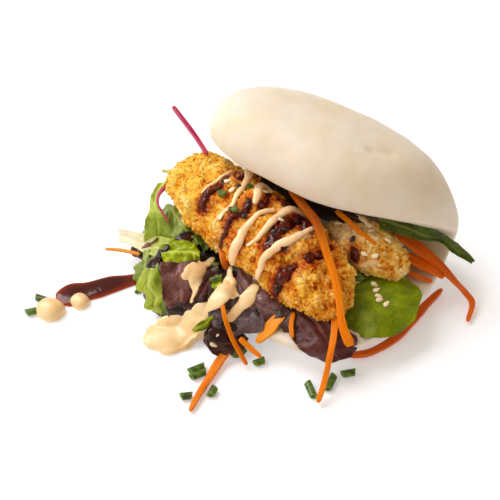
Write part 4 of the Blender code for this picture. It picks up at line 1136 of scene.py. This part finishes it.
# sauces: a stroke's rows hold x, y, perhaps a height, and its half width; the last two strokes on
# the crust lie flatter, on the tip
mayoLook = {"light": "#F6DAAA", "deep": "#F1CB94", "roughness": 0.24}
# the lines on the crust use a lighter copy of the same mayonnaise: painted light
crustMayoPaintedLightLook = {"light": "#FFDFB4", "deep": "#FBCF9C", "roughness": 0.24}
filmLook = {"body": "#220302", "thin": "#6A180A", "roughness": 0.13}
blackSauceLook = {"body": "#1E1216", "thin": "#3A1A18", "roughness": 0.14}
smearLook = {"body": "#471616", "thin": "#B8461A", "roughness": 0.13, "rim": (0.2, 1.25)}
glazeFilm = {
    "strokes": [[(*row[:-1], row[-1] * 0.8) for row in stroke]
                for stroke in filletPlan["glaze"] + tipPlan["glaze"]],
    "voxel": 0.32, "height": 0.42, "unevenness": 0.8, "smooth": 4, "lift": 0.3,
}
filmRough = {"size": 2.0, "depth": 0.7, "seed": 6.0}
crustMayo = {
    "strokes": [
        [(-31, 9, 1), (-31, 4, 0.8), (-32, -1, 0.9), (-33, -4, 0.8), (-33, -8, 0.5)],
        [(-24, 11, 2.2), (-22, 7, 1.5), (-20, -2, 1.3), (-19, -6, 1.2), (-19, -12, 1), (-21, -15, 0.8),
         (-21, -18, 0.6)],
        [(-12, 8.5, 1.3), (-14, 8.5, 2), (-16, 7.5, 2.4), (-14.5, 3, 2), (-13, 0, 1.8), (-12, -3.5, 1.2)],
        [(-5, -2, 1.2), (-7, -7, 1.3), (-8, -12, 1.5), (-9, -16, 1.7), (-8, -21, 2), (-8, -24, 30, 1.9),
         (-8, -24, 27, 1.4)],
        [(3, 5, 1.4), (1, 3, 1.8), (-1, -2, 1.7), (-1, -9, 1.5), (-2, -15, 1.3), (-3, -19, 1),
         (-4, -21, 0.8)],
        [(12, -1, 1), (11, -6, 1.4), (10, -12, 1.7), (7, -17, 1.8), (5, -21, 1.8), (4, -23, 1.6),
         (4, -24, 29, 1.4), (3, -24, 24, 1.2)],
        [(19, 18, 1.4), (24, 17, 1.6), (28, 15, 0.8)],
        [(16, 11, 1), (19, 12, 1.3)],
    ],
    "voxel": 0.3, "height": [0.7] * 6 + [0.5] * 2, "lift": 0.55,
}
heapMayo = {
    "strokes": [
        [(-21.5, -19.5, 1.5), (-21, -24.5, 2.8), (-21.5, -29, 3.6), (-20, -33, 3.2), (-17.5, -36, 1.8),
         (-17.5, -39, 1)],
        [(-22, -30, 2.6), (-23.5, -34.5, 1.8)],
        [(-10, -24, 22, 1), (-8, -27, 21.5, 1.7), (-6, -30.5, 20.5, 2.9), (-5.5, -34, 20, 4),
         (-6, -38, 19, 3.4), (-7.5, -41, 17, 2.6)],
        [(3, -27.5, 2.4), (2.5, -32, 2.8), (1, -36, 2.6), (0, -39, 2)],
        [(-4.5, -31.5, 20.5, 1.8), (-1.5, -33, 19.5, 1.4)],
    ],
    "height": [0.36, 0.36, 0.34, 0.36, 0.36],
    "voxel": 0.35, "smooth": 8, "reach": 3.0, "unevenness": 0.3, "lift": 0.5,
}
poolMayo = {
    "strokes": [
        [(-25, -54, 5.6), (-22, -51, 6.6), (-18, -47, 6.4), (-14, -44, 5), (-11, -42, 3)],
        [(-28, -51, 3.4), (-24, -46, 4.2), (-21, -43, 2.6)],
        [(-19, -54, 4.6), (-15, -50, 3.6), (-12, -46, 2.4)],
        [(-18, -42, 3), (-14, -40.5, 3.6), (-10, -39, 3)],
    ],
    "height": [0.36, 0.4, 0.3, 0.2],
    "voxel": 0.45, "smooth": 10, "unevenness": 0.2, "seed": 4.0, "reach": 4.0,
}
blackSauce = {
    "strokes": [
        [(-43.5, -35, 1.4), (-40, -33.5, 2), (-37, -32.5, 1.8)],
        [(-43, -31.5, 1.5), (-41, -30, 2.5), (-38.5, -26.5, 1.6)],
        [(-44.5, -33, 1.3), (-42, -32.5, 1.9), (-39, -30.5, 1.2)],
        [(-37, -18, 2), (-34, -15.5, 1.2)],
        [(-38, -20, 1), (-34, -19, 2), (-32, -17, 0.8)],
        [(-25, -43, 2.2), (-21, -41.5, 2.6), (-17, -39.5, 2)],
        [(-3.5, -47, 2.2), (0, -46, 2.8), (3, -44, 1.8)],
        [(-1.5, -42.5, 2), (2, -41, 1.6)],
        [(7, -33, 1.2), (8.5, -33.5, 1)],
        [(-28, -12, 1.2), (-25, -15, 1.2)],
    ],
    "voxel": 0.35, "height": 0.28, "reach": 2.4, "unevenness": 0.5, "smooth": 8,
}
# puddles are rows of x, y, z, half width and half height
largeDrop = {"form": [(-74, -62.5, 0.6, 5.2, 4.5), (-63, -64.5, 0.6, 5.2, 4.5)], "wobble": 0.6}
smallDrop = {"form": [(-65.2, -52.5, 0.5, 3.6, 3), (-58, -54.5, 0.5, 3.6, 3)], "wobble": 0.4}
smear = {
    "form": [(-71, -57, 0.3, 5.5, 1.2), (-67, -52, 0.3, 6.5, 1.2), (-62, -46, 0.3, 5, 1.1),
             (-56, -38, 0.3, 4.5, 1.1), (-48, -28, 0.3, 4, 1.1)],
    "cells": 40, "wobble": 1.2, "seed": 2.0,
}


# chilli mayonnaise: thick, smooth and glossy, with the light a little way into it
def chilliMayo(name, look):
    material, tree, coords = newMaterial(name)
    cloud = addNode(tree, "TexNoise", {"Vector": coords["Object"], "Scale": 1000 / 6, "Detail": 2.0})
    colour = addNode(tree, "ValToRGB", {"Fac": cloud}, [(0.35, look["deep"]), (0.62, look["light"])])
    ripple = addNode(tree, "TexNoise", {"Vector": coords["Object"], "Scale": 1000 / 2.2, "Detail": 2.0})
    return closeMaterial(material, {
        "Base Color": colour, "Roughness": look["roughness"], "IOR": 1.46,
        "Normal": addNode(tree, "Bump", {"Height": ripple, "Distance": 0.0003, "Strength": 0.3}),
        "Subsurface Weight": 0.3, "Subsurface Radius": (1.0, 0.6, 0.3), "Subsurface Scale": 0.0015})


# a puddle on the floor: a ball pressed flat on the ground, its outline uneven
def addPuddle(name, form, cells=26, wobble=1.0, seed=1.0):
    piece = addBall(name, form, cells, blunt=2.5)
    points = readPoints(piece)
    outwards = readPoints(piece, "normal") * np.array([1, 1, 0.2])
    points += outwards * (noiseAt(points * np.array([1, 1, 0]), 9 * mm, seed) * wobble * mm)[:, None]
    writePoints(piece, points)
    keepAbove(piece)
    applyModifier(piece, "SMOOTH", factor=0.5, iterations=3)
    keepAbove(piece)
    return piece


mayoFinish = chilliMayo("chilliMayonnaise", mayoLook)
film = pourSauce("glazeFilm", chickenGround, **glazeFilm)
roughen(film, **filmRough)
finishPiece(film, soyGlaze("soyGlazeFilm", filmLook), "glaze")
lines = pourSauce("crustMayonnaise", chickenGround, **crustMayo)
finishPiece(lines, chilliMayo("chilliMayonnaiseLinesPaintedLight", crustMayoPaintedLightLook), "mayonnaise")
finishPiece(pourSauce("heapMayonnaise", heapGround, **heapMayo), mayoFinish, "mayonnaise")
finishPiece(addPuddle("mayonnaiseDropLarge", **largeDrop), mayoFinish, "mayonnaise", "mayo_drop_large")
finishPiece(addPuddle("mayonnaiseDropSmall", **smallDrop), mayoFinish, "mayonnaise", "mayo_drop_small")
pool = pourSauce("mayonnaisePool", heapGround, **poolMayo)
keepAbove(pool)
finishPiece(pool, mayoFinish, "mayonnaise", "mayo_pool")
smearPiece = addPuddle("soyGlazeSmear", **smear)
finishPiece(smearPiece, soyGlaze("reducedSoyGlaze", smearLook), "glaze", "soy_smear")
blackPiece = pourSauce("blackSauceOnSalad", heapGround, **blackSauce)
finishPiece(blackPiece, soyGlaze("blackSoyGlaze", blackSauceLook), "glaze")
print("sauces done")

# sesame seeds: x, y and heading on each ground
sesameLook = {"half": (1.55, 0.95, 0.5), "tilt": 8, "narrowing": (0.38, 0.25),
              "lift": {"crust": 1.1, "tip": 0.9, "leaf": 0.35, "heap": 0.35}}
whiteSeeds = {
    "crust": [(-19, -15, 60), (-23, -2, 80), (-27, 1, 40), (-12, 3, 20), (1, -6, 30)],
    "tip": [(28, 16, 40), (30, 13, 80), (37, 13, 10), (32, 5, 0), (36, 6, 60)],
    "leaf": [(32, -5, 70), (33, -1, 60), (39, 1, 0), (41, -1, 60), (43, -3, 10), (44, -4, 50),
             (47, -4, 80)],
    "heap": [(-11.5, -26, 100), (-1.5, -46.5, 50), (-1.5, -49, 10)],
}
blackSeeds = {
    "crust": [(-18, -11, 20), (-12, -11, 90), (-22, 1, 10), (2, -12, 60), (5, -9, 20)],
    "tip": [(26, 6, 90), (18, 14, 20)],
}


# hulled sesame: smooth, faintly oily, ivory; the black ones keep their hull
def sesameSkin(name, pale, deep):
    material, tree, coords = newMaterial(name)
    tone = addNode(tree, "Attribute", attribute_name="tone").outputs["Fac"]
    grain = addNode(tree, "TexNoise", {"Vector": coords["Object"], "Scale": 1000 / 0.8, "Detail": 3.0})
    mixed = addNode(tree, "Math", {0: grain, 1: tone}, operation="MULTIPLY")
    return closeMaterial(material, {
        "Base Color": addNode(tree, "ValToRGB", {"Fac": mixed}, [(0.1, deep), (0.5, pale)]),
        "Normal": addNode(tree, "Bump", {"Height": grain, "Distance": 0.0001, "Strength": 0.4}),
        "Roughness": 0.38})


def makeSeed():
    seed = startFrom("uv_sphere", segments=10, ring_count=7, radius=1)
    points = readPoints(seed)[:, [2, 0, 1]]  # the poles go to the seed's two ends
    for axis, share in enumerate(sesameLook["narrowing"], start=1):
        points[:, axis] *= 1 - share * points[:, 0]
    writePoints(seed, points)
    return takeShape(seed)


def scatterSeeds(name, seeds, tones, material):
    places = []
    chooser = random.Random(5)
    tilt = sesameLook["tilt"]
    for where, spots in seeds.items():
        for x, y, heading in spots:
            spot, normal = landOn(seedGrounds[where], (x, y))
            spot = spot + normal * sesameLook["lift"][where] * mm
            matrix = settle(spot, normal, heading, sesameLook["half"], tilt=chooser.uniform(-tilt, tilt))
            places.append((matrix, chooser.uniform(*tones), 0))
    finishPiece(spreadCopies(name, [seedShape], places), material, "crumb")


seedShape = makeSeed()
seedGrounds = {"crust": groundOf(cores["Fillet"]), "tip": groundOf(cores["Tip"]),
               "leaf": groundOf(leafPieces["butterLeaf"]), "heap": heapGround}
scatterSeeds("sesameWhite", whiteSeeds, (0.8, 1.2), sesameSkin("hulledSesame", "#F6E6C4", "#CFA76A"))
scatterSeeds("sesameBlack", blackSeeds, (0.5, 1.0), sesameSkin("blackSesame", "#2A2220", "#0E0B0A"))
for core in cores.values():
    bpy.data.objects.remove(core)
print("sesame done")

# floor, lights and camera, in metres
# glow is painted light: the floor gives off a little light of its own
floorLook = {"white": "#F0F4FE", "shade": "#EDF2FC", "size": 12.0, "height": -0.0002, "glow": 0.28,
             "glowColour": "#F4F7FF"}


# white studio board with painted light: it gives off a little light of its own, so that shadows on it stay
# pale
def studioBoard(look):
    material, tree, coords = newMaterial("mattStudioBoardPaintedLight")
    grain = addNode(tree, "TexNoise", {"Vector": coords["Object"], "Scale": 1000 / 25, "Detail": 2.0})
    colour = addNode(tree, "Mix", {0: grain, 6: look["white"], 7: look["shade"]}, data_type="RGBA")
    return closeMaterial(material, {
        "Base Color": colour, "Roughness": 0.9, "Emission Color": look["glowColour"],
        "Emission Strength": look["glow"]})


floor = startFrom("plane", "studioFloor", size=floorLook["size"], location=(0, 0, floorLook["height"]))
floor.data.materials.append(studioBoard(floorLook))

lightPlan = {
    "key": {"from": (-1.50, 0.15, 1.80), "size": 1.7, "power": 50.0, "tint": "#FAFBFF"},
    "fill": {"from": (-0.70, -1.50, 1.10), "size": 1.6, "power": 12.0, "tint": "#FFFAF2"},
}
lightAim = Vector((0, -0.01, 0.02))
for name, light in lightPlan.items():
    deselectAll()
    bpy.ops.object.light_add(type="AREA", location=light["from"])
    lamp = bpy.context.object
    lamp.name = name + "Light"
    lamp.data.size = light["size"]
    lamp.data.energy = light["power"]
    lamp.data.color = hexColour(light["tint"])[:3]
    lamp.rotation_euler = (Vector(light["from"]) - lightAim).to_track_quat("Z", "Y").to_euler()

world = bpy.data.worlds.new("paleStudio")
bpy.context.scene.world = world
world.use_nodes = True
world.node_tree.nodes.clear()
sky = addNode(world.node_tree, "Background", {"Color": "#FFE6C0", "Strength": 0.46})
addNode(world.node_tree, "OutputWorld", {"Surface": sky})

cameraPlan = {
    "azimuth": 32.4, "elevation": 44.2, "distance": 0.5, "view": 22.0, "target": (-0.0101, -0.0099, 0.02),
    "sensor": 36,
}
azimuth = math.radians(cameraPlan["azimuth"])
elevation = math.radians(cameraPlan["elevation"])
back = Vector((math.sin(azimuth) * math.cos(elevation), -math.cos(azimuth) * math.cos(elevation),
               math.sin(elevation)))
deselectAll()
bpy.ops.object.camera_add(
    location=Vector(cameraPlan["target"]) + back * cameraPlan["distance"],
    rotation=back.to_track_quat("Z", "Y").to_euler())
camera = bpy.context.object
camera.data.lens_unit = "MILLIMETERS"
camera.data.sensor_width = cameraPlan["sensor"]
camera.data.lens = cameraPlan["sensor"] / 2 / math.tan(math.radians(cameraPlan["view"] / 2))
camera.data.clip_start = 0.01
bpy.context.scene.camera = camera
print("studio done")
